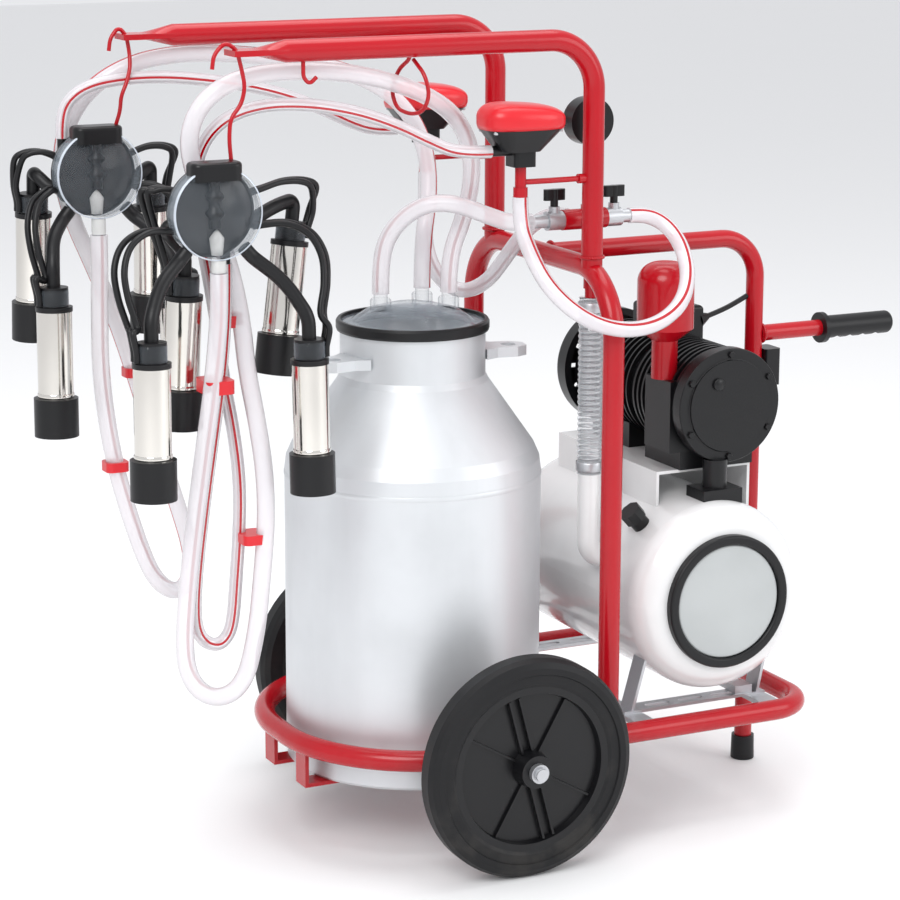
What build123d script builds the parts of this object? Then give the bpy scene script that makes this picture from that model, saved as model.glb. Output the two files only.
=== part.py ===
"""Portable milking machine for two cows, modelled in millimetres.

+X points to the rear (the pull handle), -Y is the near side, +Z is up and the
floor is z = 0.  The origin is the middle of the outline's footprint.
"""
from build123d import *
from math import cos, sin, tan, pi, radians
import os

os.makedirs("parts", exist_ok=True)

# ---------------------------------------------------------------- dimensions
FRAME_R = 13.5                 # base loop, hoop and arm tube, outer radius
WALL = 2.0                     # tube wall
LOOP_Z = 140.0                 # height of the base loop's centre line
LOOP_Y = 204.0                 # half the base loop's width
RING_FRONT_X = -323.0          # front of the base loop
RING_BEND = 187.0
LOOP_SPLIT_X = -128.0          # where the front ring meets the rear bow
BAR_X = 352.0                  # rear bar of the base loop
BOW_BEND = 58.0

HOOP_X = 49.0                  # front hoop
HOOP_Y = 192.0
HOOP_TOP = 735.0
HOOP_BEND = 85.0
ARM_Y = 133.0                  # the two posts and arms
ARM_Z = 1020.0
ARM_BEND = 62.0
ARM_TIP = {"near": -436.0, "far": -474.0}
TIP_LENGTH = 70.0

REAR_R = 12.0                  # rear leg and spine tube
REAR_X = 376.0
REAR_BEND = 55.0
FOOT_HEIGHT = 34.0
FOOT_FLOOR = 6.0
HANDLE_Z = 602.0
HANDLE_R = 11.0
GRIP_X = (481.0, 596.0)

WHEEL_X = -105.0
WHEEL_R = 141.0
RIM_R = 106.0
AXLE_R = 8.0
WHEEL_FACE = 282.0             # outer face of the tyre, from the middle plane
TYRE_WIDTH = 40.0
HUB_IN, HUB_OUT = 234.0, 290.0

CAN_X = -136.0                 # 40 litre can
CAN_R = 165.0
CAN_WALL = 3.5
CAN_BOTTOM = 87.0
SHOULDER_Z = 478.0
COLLAR_R = 93.0
COLLAR_Z = 590.0
RIM_Z = 650.0
EAR_REACH = 148.0
EAR_TURN = 12.0                # the two ears point this far towards the near side
EAR_Z = (611.0, 624.0)
STRAP_Z = 82.0

TANK_X, TANK_Z = 217.0, 298.0  # vacuum tank, lying across the frame
TANK_R = 125.0
TANK_HALF = 200.0
TANK_WALL = 3.0
HATCH_R = 72.0

PUMP_X, PUMP_Z = 247.0, 543.0  # pump and motor share one shaft line along Y
PLATE_Z = 456.0                # top of the pump's mounting plate

MANIFOLD_Y, MANIFOLD_Z = -88.0, 790.0
MANIFOLD_R = 13.0
RISER_X = 75.0
GAUGE = (64.0, -92.0, 914.0)   # its dial faces +Y
GAUGE_R = 30.0

PULSATOR_X = -53.0
PULSATOR_PORT_Z = 888.0
ROD_Z = 848.0

MILK_R = 11.0                  # long milk hose
PULSE_R = 8.0                  # long twin pulse hose, as one round solid
VACUUM_R = 10.0                # pulsator supply hoses

CLAW = {"near": (-462.0, -140.0, 837.0), "far": (-509.0, 133.0, 853.0)}
CLAW_R = 55.0
CUP_LENGTH = 186.0
CUP_R = 22.0                   # steel shell
HEAD_R = 27.5
HEAD_HEIGHT = 48.0
SHELL_TOP = 156.0

# each cup: mouthpiece centre, and how far its top leans from it in x and y
CUPS = {
    "near": [(-560, -187, 512, 2, 4), (-358, -187, 500, -2, 4),
             (-486, -84, 571, 6, -6), (-364, -92, 628, 26, 8)],
    "far": [(-584, 86, 536, 2, 4), (-420, 86, 530, -2, 4),
            (-576, 190, 640, 2, -8), (-420, 184, 640, 0, -6)],
}

# hose routes: hand-set points, each a corner of straight runs joined by arcs
NEAR_MILK = [
    (-460, -150, 766), (-460, -150, 722), (-468, -156, 664), (-479, -160, 600),
    (-490, -160, 532), (-500, -158, 460), (-508, -156, 392), (-513, -154, 326),
    (-510, -152, 290), (-497, -151, 263), (-475, -150, 248), (-450, -150, 250),
    (-432, -150, 270), (-423, -150, 302), (-415, -150, 344), (-409, -150, 400),
    (-403, -149, 460), (-403, -146, 520),
    (-409, -137, 584), (-416, -124, 644), (-416, -110, 704), (-424, -96, 764),
    (-442, -89, 820), (-464, -88, 872), (-474, -91, 918), (-460, -96, 958),
    (-424, -101, 984), (-378, -105, 993), (-325, -107, 994), (-268, -107, 988),
    (-212, -104, 975), (-158, -95, 954), (-114, -78, 926), (-84, -59, 886),
    (-74, -43, 838), (-80, -30, 790), (-96, -22, 742), (-96, -22, 698)]
NEAR_PULSE = [
    (-440, -121, 772), (-440, -121, 734), (-447, -129, 676), (-457, -134, 612),
    (-468, -134, 544), (-478, -132, 472), (-486, -130, 406), (-489, -128, 358),
    (-487, -128, 330), (-476, -127, 312), (-458, -127, 306), (-444, -127, 318),
    (-438, -127, 342), (-435, -128, 384),
    (-430, -128, 440), (-427, -126, 504), (-431, -118, 568), (-438, -104, 630),
    (-439, -90, 690), (-443, -75, 750), (-451, -66, 808), (-457, -66, 862),
    (-450, -74, 908), (-426, -88, 940), (-384, -102, 955), (-330, -115, 955),
    (-274, -124, 945), (-222, -129, 927), (-176, -132, 904), (-138, -133, 888),
    (-95, -133, 888)]
FAR_MILK = [
    (-510, 123, 777), (-510, 123, 734), (-514, 117, 674), (-516, 112, 608),
    (-510, 110, 540), (-498, 110, 474), (-481, 112, 414), (-463, 116, 362),
    (-448, 119, 330), (-427, 124, 308), (-404, 132, 304), (-388, 141, 322),
    (-385, 150, 354),
    (-398, 160, 410), (-419, 167, 482), (-438, 170, 546), (-456, 173, 610),
    (-476, 177, 672), (-500, 180, 732), (-524, 181, 788), (-538, 180, 842),
    (-536, 177, 892), (-519, 171, 934), (-488, 163, 966), (-444, 155, 987),
    (-392, 150, 995), (-334, 148, 994), (-276, 145, 988), (-220, 138, 979),
    (-168, 123, 966), (-126, 100, 944), (-98, 76, 908), (-88, 56, 862),
    (-94, 38, 812), (-113, 20, 752), (-113, 20, 698)]
FAR_PULSE = [
    (-545, 152, 896), (-545, 152, 922), (-535, 150, 945), (-509, 143, 962),
    (-462, 134, 969), (-414, 128, 969), (-360, 125, 963), (-302, 125, 953),
    (-248, 127, 938), (-198, 130, 917), (-158, 132, 898), (-126, 133, 888),
    (-95, 133, 888)]
LID_ARCH = [
    (-13, -88, 790), (-42, -88, 790), (-74, -80, 802), (-106, -64, 816),
    (-136, -44, 816), (-160, -24, 798), (-176, -8, 770), (-181, 0, 736), (-181, 0, 698)]
NEAR_SUPPLY = [
    (127, -88, 790), (147, -88, 790), (166, -95, 784), (179, -110, 770),
    (183, -132, 748), (174, -161, 719), (149, -189, 692), (108, -209, 673), (60, -221, 668),
    (14, -222, 677), (-22, -212, 698), (-45, -188, 728), (-53, -160, 764),
    (-53, -133, 796), (-53, -133, 830)]
FAR_SUPPLY = [
    (-53, 133, 830), (-53, 133, 796), (-57, 129, 756), (-56, 118, 716),
    (-43, 102, 686), (-20, 84, 674), (2, 62, 690), (14, 40, 720),
    (23, 14, 753), (36, -8, 777), (52, -32, 790), (52, -62, 790)]
MOTOR_CABLE = [(303, 0, 632), (322, 0, 637.3), (343, 0, 645), (364, 0, 655)]
MILK_STARTS = {"near": NEAR_MILK[0], "far": FAR_MILK[0]}
PULSE_STARTS = {"near": NEAR_PULSE[0], "far": FAR_PULSE[0]}


# ------------------------------------------------------------------- helpers
def save(node, name):
    """Label a finished piece and write its STEP file."""
    node.part.label = name
    export_step(node.part, "parts/" + name + ".step")


def cross_plane(path):
    """The plane square to a path at its start."""
    return Plane(origin=path @ 0, z_dir=path % 0)


def bent_tube(points, bend, radius, bore=0.0):
    """A tube of straight runs with one bend radius at every corner."""
    with BuildPart() as tube:
        with BuildLine() as path:
            FilletPolyline(*points, radius=bend)
        with BuildSketch(cross_plane(path.line)):
            Circle(radius)
            if bore:
                Circle(bore, mode=Mode.SUBTRACT)
        sweep(path=path.line)
    return tube


def corner_radii(points):
    """For each corner, the largest arc its two runs allow."""
    radii = []
    for before, here, after in zip(points, points[1:], points[2:]):
        run_in = Vector(*here) - Vector(*before)
        run_out = Vector(*after) - Vector(*here)
        turn = radians(run_in.get_angle(run_out))
        radii.append(0.45 * min(run_in.length, run_out.length) / tan(turn / 2))
    return radii


def hose(name, points, radius):
    """A free hose: straight runs joined by tangent arcs, in its own node."""
    radii = corner_radii(points)
    with BuildPart() as tube:
        with BuildLine() as path:
            FilletPolyline(*points, radius=radii)
        with BuildSketch(cross_plane(path.line)):
            Circle(radius)
        sweep(path=path.line)
    length = sum(edge.length for edge in path.edges())
    expected = pi * radius ** 2 * length
    print(f"{name}: length {length:.0f} mm, tightest {min(radii):.0f} mm = "
          f"{min(radii) / (2 * radius):.1f} dia, volume ratio {tube.part.volume / expected:.4f}")
    save(tube, name)
    return tube


def side_plane(y, x=0.0, z=0.0):
    """A plane facing +Y at a given y, with local x along -X."""
    return Plane(origin=(x, y, z), x_dir=(-1, 0, 0), z_dir=(0, 1, 0))


# ------------------------------------------------------------- welded frame
RING_POINTS = [(LOOP_SPLIT_X, -LOOP_Y, LOOP_Z), (RING_FRONT_X, -LOOP_Y, LOOP_Z),
               (RING_FRONT_X, LOOP_Y, LOOP_Z), (LOOP_SPLIT_X, LOOP_Y, LOOP_Z)]
front_ring = bent_tube(RING_POINTS, RING_BEND, FRAME_R, FRAME_R - WALL)

BOW_POINTS = [(LOOP_SPLIT_X, -LOOP_Y, LOOP_Z), (BAR_X, -LOOP_Y, LOOP_Z),
              (BAR_X, LOOP_Y, LOOP_Z), (LOOP_SPLIT_X, LOOP_Y, LOOP_Z)]
bow_outline = bent_tube(BOW_POINTS, BOW_BEND, FRAME_R)
HOOP_POINTS = [(HOOP_X, -HOOP_Y, LOOP_Z), (HOOP_X, -HOOP_Y, HOOP_TOP),
               (HOOP_X, HOOP_Y, HOOP_TOP), (HOOP_X, HOOP_Y, LOOP_Z)]
hoop_outline = bent_tube(HOOP_POINTS, HOOP_BEND, FRAME_R)

# the stub axles pass through the base loop
with BuildPart() as axle_holes:
    with BuildSketch(side_plane(0, WHEEL_X, WHEEL_R)):
        Circle(AXLE_R)
    extrude(amount=HUB_OUT, both=True)

with BuildPart() as rear_bow:
    add(bent_tube(BOW_POINTS, BOW_BEND, FRAME_R, FRAME_R - WALL).part)
    add(axle_holes.part, mode=Mode.SUBTRACT)
save(front_ring, "base_front_ring")
save(rear_bow, "base_rear_bow")

with BuildPart() as front_hoop:
    add(bent_tube(HOOP_POINTS, HOOP_BEND, FRAME_R, FRAME_R - WALL).part)
    add(bow_outline.part, mode=Mode.SUBTRACT)
save(front_hoop, "front_hoop")


def arm(side, y):
    """A post on the hoop, bent forward into an arm with a flattened tip."""
    tip = ARM_TIP[side]
    points = [(HOOP_X, y, HOOP_TOP), (HOOP_X, y, ARM_Z), (tip + TIP_LENGTH, y, ARM_Z)]
    end_plane = Plane(origin=(tip + TIP_LENGTH, y, ARM_Z), x_dir=(0, 1, 0), z_dir=(-1, 0, 0))
    with BuildPart() as piece:
        add(bent_tube(points, ARM_BEND, FRAME_R, FRAME_R - WALL).part)
        add(hoop_outline.part, mode=Mode.SUBTRACT)
        with BuildSketch(end_plane):
            Circle(FRAME_R)
        with BuildSketch(end_plane.offset(TIP_LENGTH * 0.6)):
            Rectangle(34, 7)
        loft()
        with BuildSketch(end_plane.offset(TIP_LENGTH * 0.6)):
            Rectangle(34, 7)
        extrude(amount=TIP_LENGTH * 0.4)
    save(piece, "arm_" + side)
    return piece


arm_near = arm("near", -ARM_Y)
arm_far = arm("far", ARM_Y)

SPINE = [(HOOP_X, 0, HOOP_TOP), (REAR_X, 0, HOOP_TOP), (REAR_X, 0, FOOT_FLOOR)]
spine_outline = bent_tube(SPINE, REAR_BEND, REAR_R)
with BuildPart() as rear_frame:
    add(bent_tube(SPINE, REAR_BEND, REAR_R, REAR_R - WALL).part)
    add(hoop_outline.part, mode=Mode.SUBTRACT)
    add(bow_outline.part, mode=Mode.SUBTRACT)
    handle_plane = Plane(origin=(REAR_X + REAR_R - 3, 0, HANDLE_Z), z_dir=(1, 0, 0))
    with BuildSketch(handle_plane):
        Circle(HANDLE_R)
        Circle(HANDLE_R - WALL, mode=Mode.SUBTRACT)
    extrude(amount=GRIP_X[1] - 12 - REAR_X - REAR_R + 3)
save(rear_frame, "rear_frame")

with BuildPart() as rear_foot:
    with BuildSketch(Plane.XY):
        with Locations((REAR_X, 0)):
            Circle(REAR_R + 4.5)
    extrude(amount=FOOT_HEIGHT, taper=1.5)
    fillet(rear_foot.edges().group_by(Axis.Z)[0], 2)
    with BuildSketch(Plane.XY.offset(FOOT_FLOOR)):
        with Locations((REAR_X, 0)):
            Circle(REAR_R)
    extrude(amount=FOOT_HEIGHT, mode=Mode.SUBTRACT)
save(rear_foot, "rear_foot")

with BuildPart() as grip:
    with BuildSketch(Plane(origin=(GRIP_X[0], 0, HANDLE_Z), z_dir=(1, 0, 0))):
        Circle(21)
    extrude(amount=7)
    with BuildSketch(Plane(origin=(GRIP_X[0], 0, HANDLE_Z), z_dir=(1, 0, 0))):
        Circle(15.5)
    extrude(amount=GRIP_X[1] - GRIP_X[0])
    fillet(grip.edges().group_by(Axis.X)[-1], 7)
    GROOVE_PITCH = 21.0
    for groove in range(4):
        groove_x = GRIP_X[0] + 27 + groove * GROOVE_PITCH
        with BuildSketch(side_plane(0, groove_x, HANDLE_Z - 20)):
            Circle(8.5)
        extrude(amount=30, both=True, mode=Mode.SUBTRACT)
    with BuildSketch(Plane(origin=(GRIP_X[0], 0, HANDLE_Z), z_dir=(1, 0, 0))):
        Circle(HANDLE_R)
    extrude(amount=GRIP_X[1] - GRIP_X[0] - 12, mode=Mode.SUBTRACT)
save(grip, "handle_grip")

# two flat straps hung from the front ring to the first cross bar carry the can
FEET_X = (102.0, 292.0)
STRAP_END_Z = 144.0
ring_outline = bent_tube(RING_POINTS, RING_BEND, FRAME_R)
with BuildPart() as can_straps:
    for strap_y in (-50.0, 50.0):
        with BuildSketch(Plane.XZ.offset(-strap_y - 15)):
            with BuildLine():
                Polyline((-318, LOOP_Z), (-318, STRAP_Z), (46, STRAP_Z), (FEET_X[0] - 3, STRAP_END_Z),
                         (FEET_X[0] - 9.5, STRAP_END_Z), (43.5, CAN_BOTTOM), (-313, CAN_BOTTOM),
                         (-313, LOOP_Z), close=True)
            make_face()
        extrude(amount=30)
    add(ring_outline.part, mode=Mode.SUBTRACT)
save(can_straps, "can_straps")


# -------------------------------------------------------------------- wheels
WHEEL_AXIS = Axis((WHEEL_X, 0, WHEEL_R), (0, 1, 0))
WHEEL_PLANE = Plane(origin=(WHEEL_X, 0, WHEEL_R))


def turned(profile, side):
    """Revolve a (radius, distance from the middle plane) outline about the axle."""
    with BuildPart() as piece:
        with BuildSketch(WHEEL_PLANE):
            with BuildLine():
                Polyline(*[(r, side * y) for r, y in profile], close=True)
            make_face()
        revolve(axis=WHEEL_AXIS)
    return piece


def wheel(name, side):
    """A moulded rim on its bore and the solid rubber tyre round it."""
    inner, outer = WHEEL_FACE - TYRE_WIDTH, WHEEL_FACE
    tyre = turned(
        [(RIM_R, inner + 4), (RIM_R + 6, inner + 1), (130, inner), (137, inner + 4),
         (WHEEL_R, inner + 11), (WHEEL_R, outer - 11), (137, outer - 4), (130, outer),
         (122, outer), (121, outer - 2), (RIM_R + 4, outer - 2), (RIM_R, outer - 4)], side)
    save(tyre, "tyre_" + name)
    web = turned(
        [(AXLE_R + 0.05, HUB_IN), (20, HUB_IN), (22, 262), (95, 262), (97, inner + 5),
         (RIM_R, inner + 4), (RIM_R, outer - 4), (97, outer - 5), (95, 268), (24, 268),
         (21, HUB_OUT), (AXLE_R + 0.05, HUB_OUT)], side)
    with BuildPart() as rim:
        add(web.part)
        rib_plane = side_plane(side * 267.5, WHEEL_X, WHEEL_R)
        with BuildSketch(rib_plane):                # double ribs, like a ladder
            with PolarLocations(59, 2, start_angle=75):
                with Locations((0, -7), (0, 7)):
                    Rectangle(72, 3)
        extrude(amount=side * 8)
        with BuildSketch(rib_plane):                # thin single ribs
            with PolarLocations(59, 4, start_angle=30):
                Rectangle(72, 2.5)
        extrude(amount=side * 5)
    save(rim, "rim_" + name)


wheel("near", -1)
wheel("far", 1)

with BuildPart() as stub_axles:
    for side in (-1, 1):
        for radius, start, stop in ((AXLE_R, LOOP_Y - 20, HUB_OUT + 14), (13, 217.5, HUB_IN - 0.5),
                                    (12, HUB_OUT + 0.5, HUB_OUT + 8)):
            with BuildSketch(side_plane(side * start, WHEEL_X, WHEEL_R)):
                Circle(radius)
            extrude(amount=side * (stop - start))
save(stub_axles, "stub_axles")

# ----------------------------------------------------------------------- can
CAN_AXIS = Axis((CAN_X, 0, 0), (0, 0, 1))
CAN_PLANE = Plane(origin=(CAN_X, 0, 0), x_dir=(1, 0, 0), z_dir=(0, -1, 0))
CAN_OUTSIDE = [(0, CAN_BOTTOM), (160, CAN_BOTTOM), (164, 91), (164, 108), (163.5, 113), (CAN_R, 118),
               (CAN_R, SHOULDER_Z - 8), (163, SHOULDER_Z + 8), (156, SHOULDER_Z + 24),
               (COLLAR_R + 4, COLLAR_Z - 4), (COLLAR_R, COLLAR_Z + 4), (COLLAR_R, RIM_Z),
               (COLLAR_R - 5, RIM_Z)]
CAN_INSIDE = [(COLLAR_R - 5, COLLAR_Z + 4), (COLLAR_R, COLLAR_Z - 6), (153, SHOULDER_Z + 22),
              (160, SHOULDER_Z + 6), (CAN_R - CAN_WALL, SHOULDER_Z - 8),
              (CAN_R - CAN_WALL, CAN_BOTTOM + 16), (150, CAN_BOTTOM + 4), (0, CAN_BOTTOM + 4)]

with BuildPart() as can_body:
    with BuildSketch(CAN_PLANE):
        with BuildLine():
            Polyline(*CAN_OUTSIDE, *CAN_INSIDE, close=True)
        make_face()
    revolve(axis=CAN_AXIS)
    for direction in (-EAR_TURN, 180 + EAR_TURN):
        with BuildSketch(Plane(origin=(CAN_X, 0, EAR_Z[0])).rotated((0, 0, direction))):
            with BuildLine():
                Polyline((COLLAR_R - 3, -32), (COLLAR_R + 14, -22), (EAR_REACH - 14, -20),
                         (EAR_REACH, -10), (EAR_REACH, 10), (EAR_REACH - 14, 20),
                         (COLLAR_R + 14, 22), (COLLAR_R - 3, 32), close=True)
            make_face()
            with Locations((EAR_REACH - 22, 0)):
                Circle(10, mode=Mode.SUBTRACT)
        extrude(amount=EAR_Z[1] - EAR_Z[0])
save(can_body, "can_body")

NIPPLE_TOP = 698.0
LID_NIPPLES = [(-181, 0), (-113, 20), (-96, -22)]
with BuildPart() as can_lid:
    with BuildSketch(CAN_PLANE):
        with BuildLine():
            Polyline((0, 684), (30, 682), (60, 674), (78, 662), (92, 660), (92, 656),
                     (76, 658), (58, 670), (29, 678), (0, 680), close=True)
        make_face()
    revolve(axis=CAN_AXIS)
    for nipple_x, nipple_y in LID_NIPPLES:
        with BuildSketch(Plane.XY.offset(673)):
            with Locations((nipple_x, nipple_y)):
                Circle(9)
        extrude(amount=NIPPLE_TOP - 673)
save(can_lid, "can_lid")

with BuildPart() as lid_gasket:
    with BuildSketch(CAN_PLANE):
        with BuildLine():
            Polyline((80, RIM_Z), (97, RIM_Z), (98, 653), (98, 661), (96, 664), (92, 664),
                     (92, 656), (80, 656), close=True)
        make_face()
    revolve(axis=CAN_AXIS)
save(lid_gasket, "lid_gasket")

# --------------------------------------------------------------- vacuum tank
with BuildPart() as tank_outline:
    with BuildSketch(side_plane(-TANK_HALF, TANK_X, TANK_Z)):
        Circle(TANK_R)
    extrude(amount=2 * TANK_HALF)
    fillet(tank_outline.edges().filter_by(GeomType.CIRCLE), 36)
with BuildPart() as tank_cavity:
    with BuildSketch(side_plane(TANK_WALL - TANK_HALF, TANK_X, TANK_Z)):
        Circle(TANK_R - TANK_WALL)
    extrude(amount=2 * (TANK_HALF - TANK_WALL))
    fillet(tank_cavity.edges().filter_by(GeomType.CIRCLE), 36 - TANK_WALL)
ELBOW_X, ELBOW_Z, ELBOW_TOP = RISER_X, 345.0, 458.0
ELBOW_R = 15.0
with BuildPart() as vacuum_tank:
    with BuildLine() as elbow_path:
        FilletPolyline((ELBOW_X, MANIFOLD_Y, ELBOW_TOP), (ELBOW_X, MANIFOLD_Y, ELBOW_Z),
                       (TANK_X - 60, MANIFOLD_Y, ELBOW_Z), radius=24)
    with BuildSketch(cross_plane(elbow_path.line)):
        Circle(ELBOW_R)
    sweep(path=elbow_path.line)
    add(tank_outline.part)
    add(tank_cavity.part, mode=Mode.SUBTRACT)
    with BuildSketch(side_plane(-TANK_HALF - 5, TANK_X, TANK_Z)):
        Circle(HATCH_R)
    extrude(amount=30, mode=Mode.SUBTRACT)
save(vacuum_tank, "vacuum_tank")

with BuildPart() as tank_cover:
    with BuildSketch(side_plane(-TANK_HALF, TANK_X, TANK_Z)):
        Circle(HATCH_R + 3)
    extrude(amount=-7)
    with BuildSketch(side_plane(-TANK_HALF, TANK_X, TANK_Z)):
        Circle(HATCH_R - 0.2)
    extrude(amount=TANK_WALL + 4)
    fillet(tank_cover.edges().group_by(Axis.Y)[0], 3)
save(tank_cover, "tank_cover")

with BuildPart() as tank_seal_ring:
    with BuildSketch(side_plane(-TANK_HALF, TANK_X, TANK_Z)):
        Circle(88)
        Circle(HATCH_R + 3.2, mode=Mode.SUBTRACT)
    extrude(amount=-11)
    fillet(tank_seal_ring.edges().group_by(Axis.Y)[0], 3.5)
save(tank_seal_ring, "tank_seal_ring")

STRIP_Y, STRIP_Z = 150.0, 154.0
with BuildPart() as tank_supports:
    for side in (-1, 1):
        for foot_x, top_x in ((FEET_X[0], TANK_X - 92), (FEET_X[1], TANK_X + 92)):
            lean = 1 if top_x > foot_x else -1
            with BuildSketch(Plane.XZ.offset(-side * (STRIP_Y - 14))):
                with BuildLine():
                    Polyline((foot_x - 2, STRIP_Z), (top_x - 2, 236), (top_x + 2, 236),
                             (foot_x + 2, STRIP_Z), close=True)
                make_face()
            extrude(amount=-side * 28)
        with BuildSketch(Plane.XY.offset(STRIP_Z - 4)):
            with Locations(((FEET_X[0] + FEET_X[1]) / 2, side * STRIP_Y)):
                Rectangle(FEET_X[1] - FEET_X[0] + 24, 28)
                with Locations((-50, 0), (0, 0), (50, 0)):
                    SlotOverall(36, 9, mode=Mode.SUBTRACT)
        extrude(amount=4)
        with BuildSketch(Plane.XY.offset(STRIP_Z)):        # clamp over the rear foot
            with Locations((FEET_X[1] - 20, side * STRIP_Y)):
                Rectangle(26, 24)
        extrude(amount=11)
    for bar_x in FEET_X:                                   # cross bars on the loop
        with BuildSketch(Plane.XY.offset(STRIP_Z - 10)):
            with Locations((bar_x, 0)):
                Rectangle(28, 2 * LOOP_Y)
        extrude(amount=6)
    add(bow_outline.part, mode=Mode.SUBTRACT)
    add(tank_outline.part, mode=Mode.SUBTRACT)
save(tank_supports, "tank_supports")

# service plug on the tank's upper front
PLUG_TILT = radians(42)
with BuildPart() as tank_plug:
    plug_plane = Plane(origin=(TANK_X, -124, TANK_Z), z_dir=(-sin(PLUG_TILT), 0, cos(PLUG_TILT)))
    with BuildSketch(plug_plane.offset(TANK_R - 8)):
        Circle(12)
    extrude(amount=20)
    with BuildSketch(plug_plane.offset(TANK_R + 12)):
        RegularPolygon(15, 8)
    extrude(amount=16)
    add(tank_outline.part, mode=Mode.SUBTRACT)
save(tank_plug, "tank_plug")

with BuildPart() as pump_bracket:
    with BuildSketch(Plane.XZ.offset(-150)):
        with BuildLine():
            Polyline((160, 380), (160, PLATE_Z), (302, PLATE_Z), (302, 380), (298, 380),
                     (298, PLATE_Z - 4), (164, PLATE_Z - 4), (164, 380), close=True)
        make_face()
    extrude(amount=265)
    add(tank_outline.part, mode=Mode.SUBTRACT)
save(pump_bracket, "pump_bracket")

# ------------------------------------------------------------ pump and motor
PUMP_Y = (-132.0, -18.0)
MOTOR_Y = (-18.0, 148.0)
SHAFT_R = 9.0
BORE_R = 52.0
BORE_RISE = 4.0


def ring_stack(stretches, x=PUMP_X, z=PUMP_Z):
    """Coaxial rings along Y, each given as (start, stop, outer radius)."""
    with BuildPart() as stack:
        for start, stop, radius in stretches:
            with BuildSketch(side_plane(start, x, z)):
                Circle(radius)
            extrude(amount=stop - start)
    return stack


def cut_round(radius, start, stop, rise=0.0):
    """A round cutter along Y on the shaft line."""
    return ring_stack([(start, stop, radius)], PUMP_X, PUMP_Z + rise).part


FIN_PITCH = 11.0
fins = [(PUMP_Y[0] + 6 + FIN_PITCH * i, PUMP_Y[0] + 10 + FIN_PITCH * i, 72) for i in range(10)]
with BuildPart() as pump_housing:
    add(ring_stack([(*PUMP_Y, 63)] + fins).part)
    with BuildSketch(Plane.XY.offset(PUMP_Z - 62)):        # inlet block
        with Locations((PUMP_X - 52, -92)):
            Rectangle(44, 64)
    extrude(amount=94)
    with BuildSketch(Plane.XY.offset(PLATE_Z)):            # foot
        with Locations((PUMP_X, -75)):
            Rectangle(110, 90)
    extrude(amount=32)
    add(cut_round(BORE_R, PUMP_Y[0], PUMP_Y[1] - 12, BORE_RISE), mode=Mode.SUBTRACT)
    add(cut_round(SHAFT_R + 0.05, PUMP_Y[0], PUMP_Y[1]), mode=Mode.SUBTRACT)
save(pump_housing, "pump_housing")

with BuildPart() as pump_cover:
    add(ring_stack([(-150, PUMP_Y[0], 75), (-153, -150, 60)]).part)
    fillet(pump_cover.edges().filter_by(GeomType.CIRCLE).group_by(Axis.Y)[1], 1.4)
    add(cut_round(SHAFT_R + 0.05, -144, PUMP_Y[0]), mode=Mode.SUBTRACT)
    with BuildSketch(Plane.XY.offset(PUMP_Z - 70)):        # leg down to the tank
        with Locations((PUMP_X - 16, -143)):
            Circle(16)
    extrude(amount=-60)
    with BuildSketch(Plane.XY.offset(436)):
        with Locations((PUMP_X - 16, -143)):
            Rectangle(58, 44)
    extrude(amount=-30)
    add(tank_outline.part, mode=Mode.SUBTRACT)
save(pump_cover, "pump_cover")

ROTOR_R = 46.0
with BuildPart() as pump_rotor:
    add(ring_stack([(PUMP_Y[0] + 1, PUMP_Y[1] - 13, ROTOR_R)]).part)
    with BuildSketch(side_plane(PUMP_Y[0] + 1, PUMP_X, PUMP_Z)):      # vane tips
        with PolarLocations(42, 4):
            Rectangle(10, 3)
    extrude(amount=PUMP_Y[1] - PUMP_Y[0] - 14)
    add(cut_round(SHAFT_R, PUMP_Y[0], PUMP_Y[1]), mode=Mode.SUBTRACT)
save(pump_rotor, "pump_rotor")

with BuildPart() as motor_housing:
    cooling_ribs = [(MOTOR_Y[0] + 14 + 12 * i, MOTOR_Y[0] + 17 + 12 * i, 70) for i in range(11)]
    add(ring_stack([(*MOTOR_Y, 64)] + cooling_ribs).part)
    with BuildSketch(Plane.XY.offset(PLATE_Z)):
        with Locations((PUMP_X, 75)):
            Rectangle(96, 100)
    extrude(amount=34)
    add(cut_round(57, MOTOR_Y[0] + 8, MOTOR_Y[1] - 8), mode=Mode.SUBTRACT)
    add(cut_round(SHAFT_R + 0.05, *MOTOR_Y), mode=Mode.SUBTRACT)
save(motor_housing, "motor_housing")

with BuildPart() as stator:
    add(ring_stack([(14, 110, 57)]).part)
    add(cut_round(36.5, 14, 110), mode=Mode.SUBTRACT)
save(stator, "motor_stator")

rotor_shaft = ring_stack([(-142, 164, SHAFT_R), (16, 108, 36)])
save(rotor_shaft, "rotor_shaft")

with BuildPart() as fan:
    add(ring_stack([(153, 158, 54), (153, 164, 18)]).part)
    with BuildSketch(side_plane(157, PUMP_X, PUMP_Z)):
        with PolarLocations(33, 8):
            Rectangle(40, 3)
    extrude(amount=9)
    add(cut_round(SHAFT_R, 150, 170), mode=Mode.SUBTRACT)
save(fan, "motor_fan")

with BuildPart() as fan_cover:
    add(ring_stack([(MOTOR_Y[1], 176, 80)]).part)
    fillet(fan_cover.edges().filter_by(GeomType.CIRCLE).group_by(Axis.Y)[-1], 8)
    add(cut_round(70, MOTOR_Y[1], 172), mode=Mode.SUBTRACT)
    with BuildSketch(side_plane(170, PUMP_X, PUMP_Z)):
        with PolarLocations(42, 12):
            SlotOverall(34, 6)
    extrude(amount=8, mode=Mode.SUBTRACT)
save(fan_cover, "fan_cover")

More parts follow.
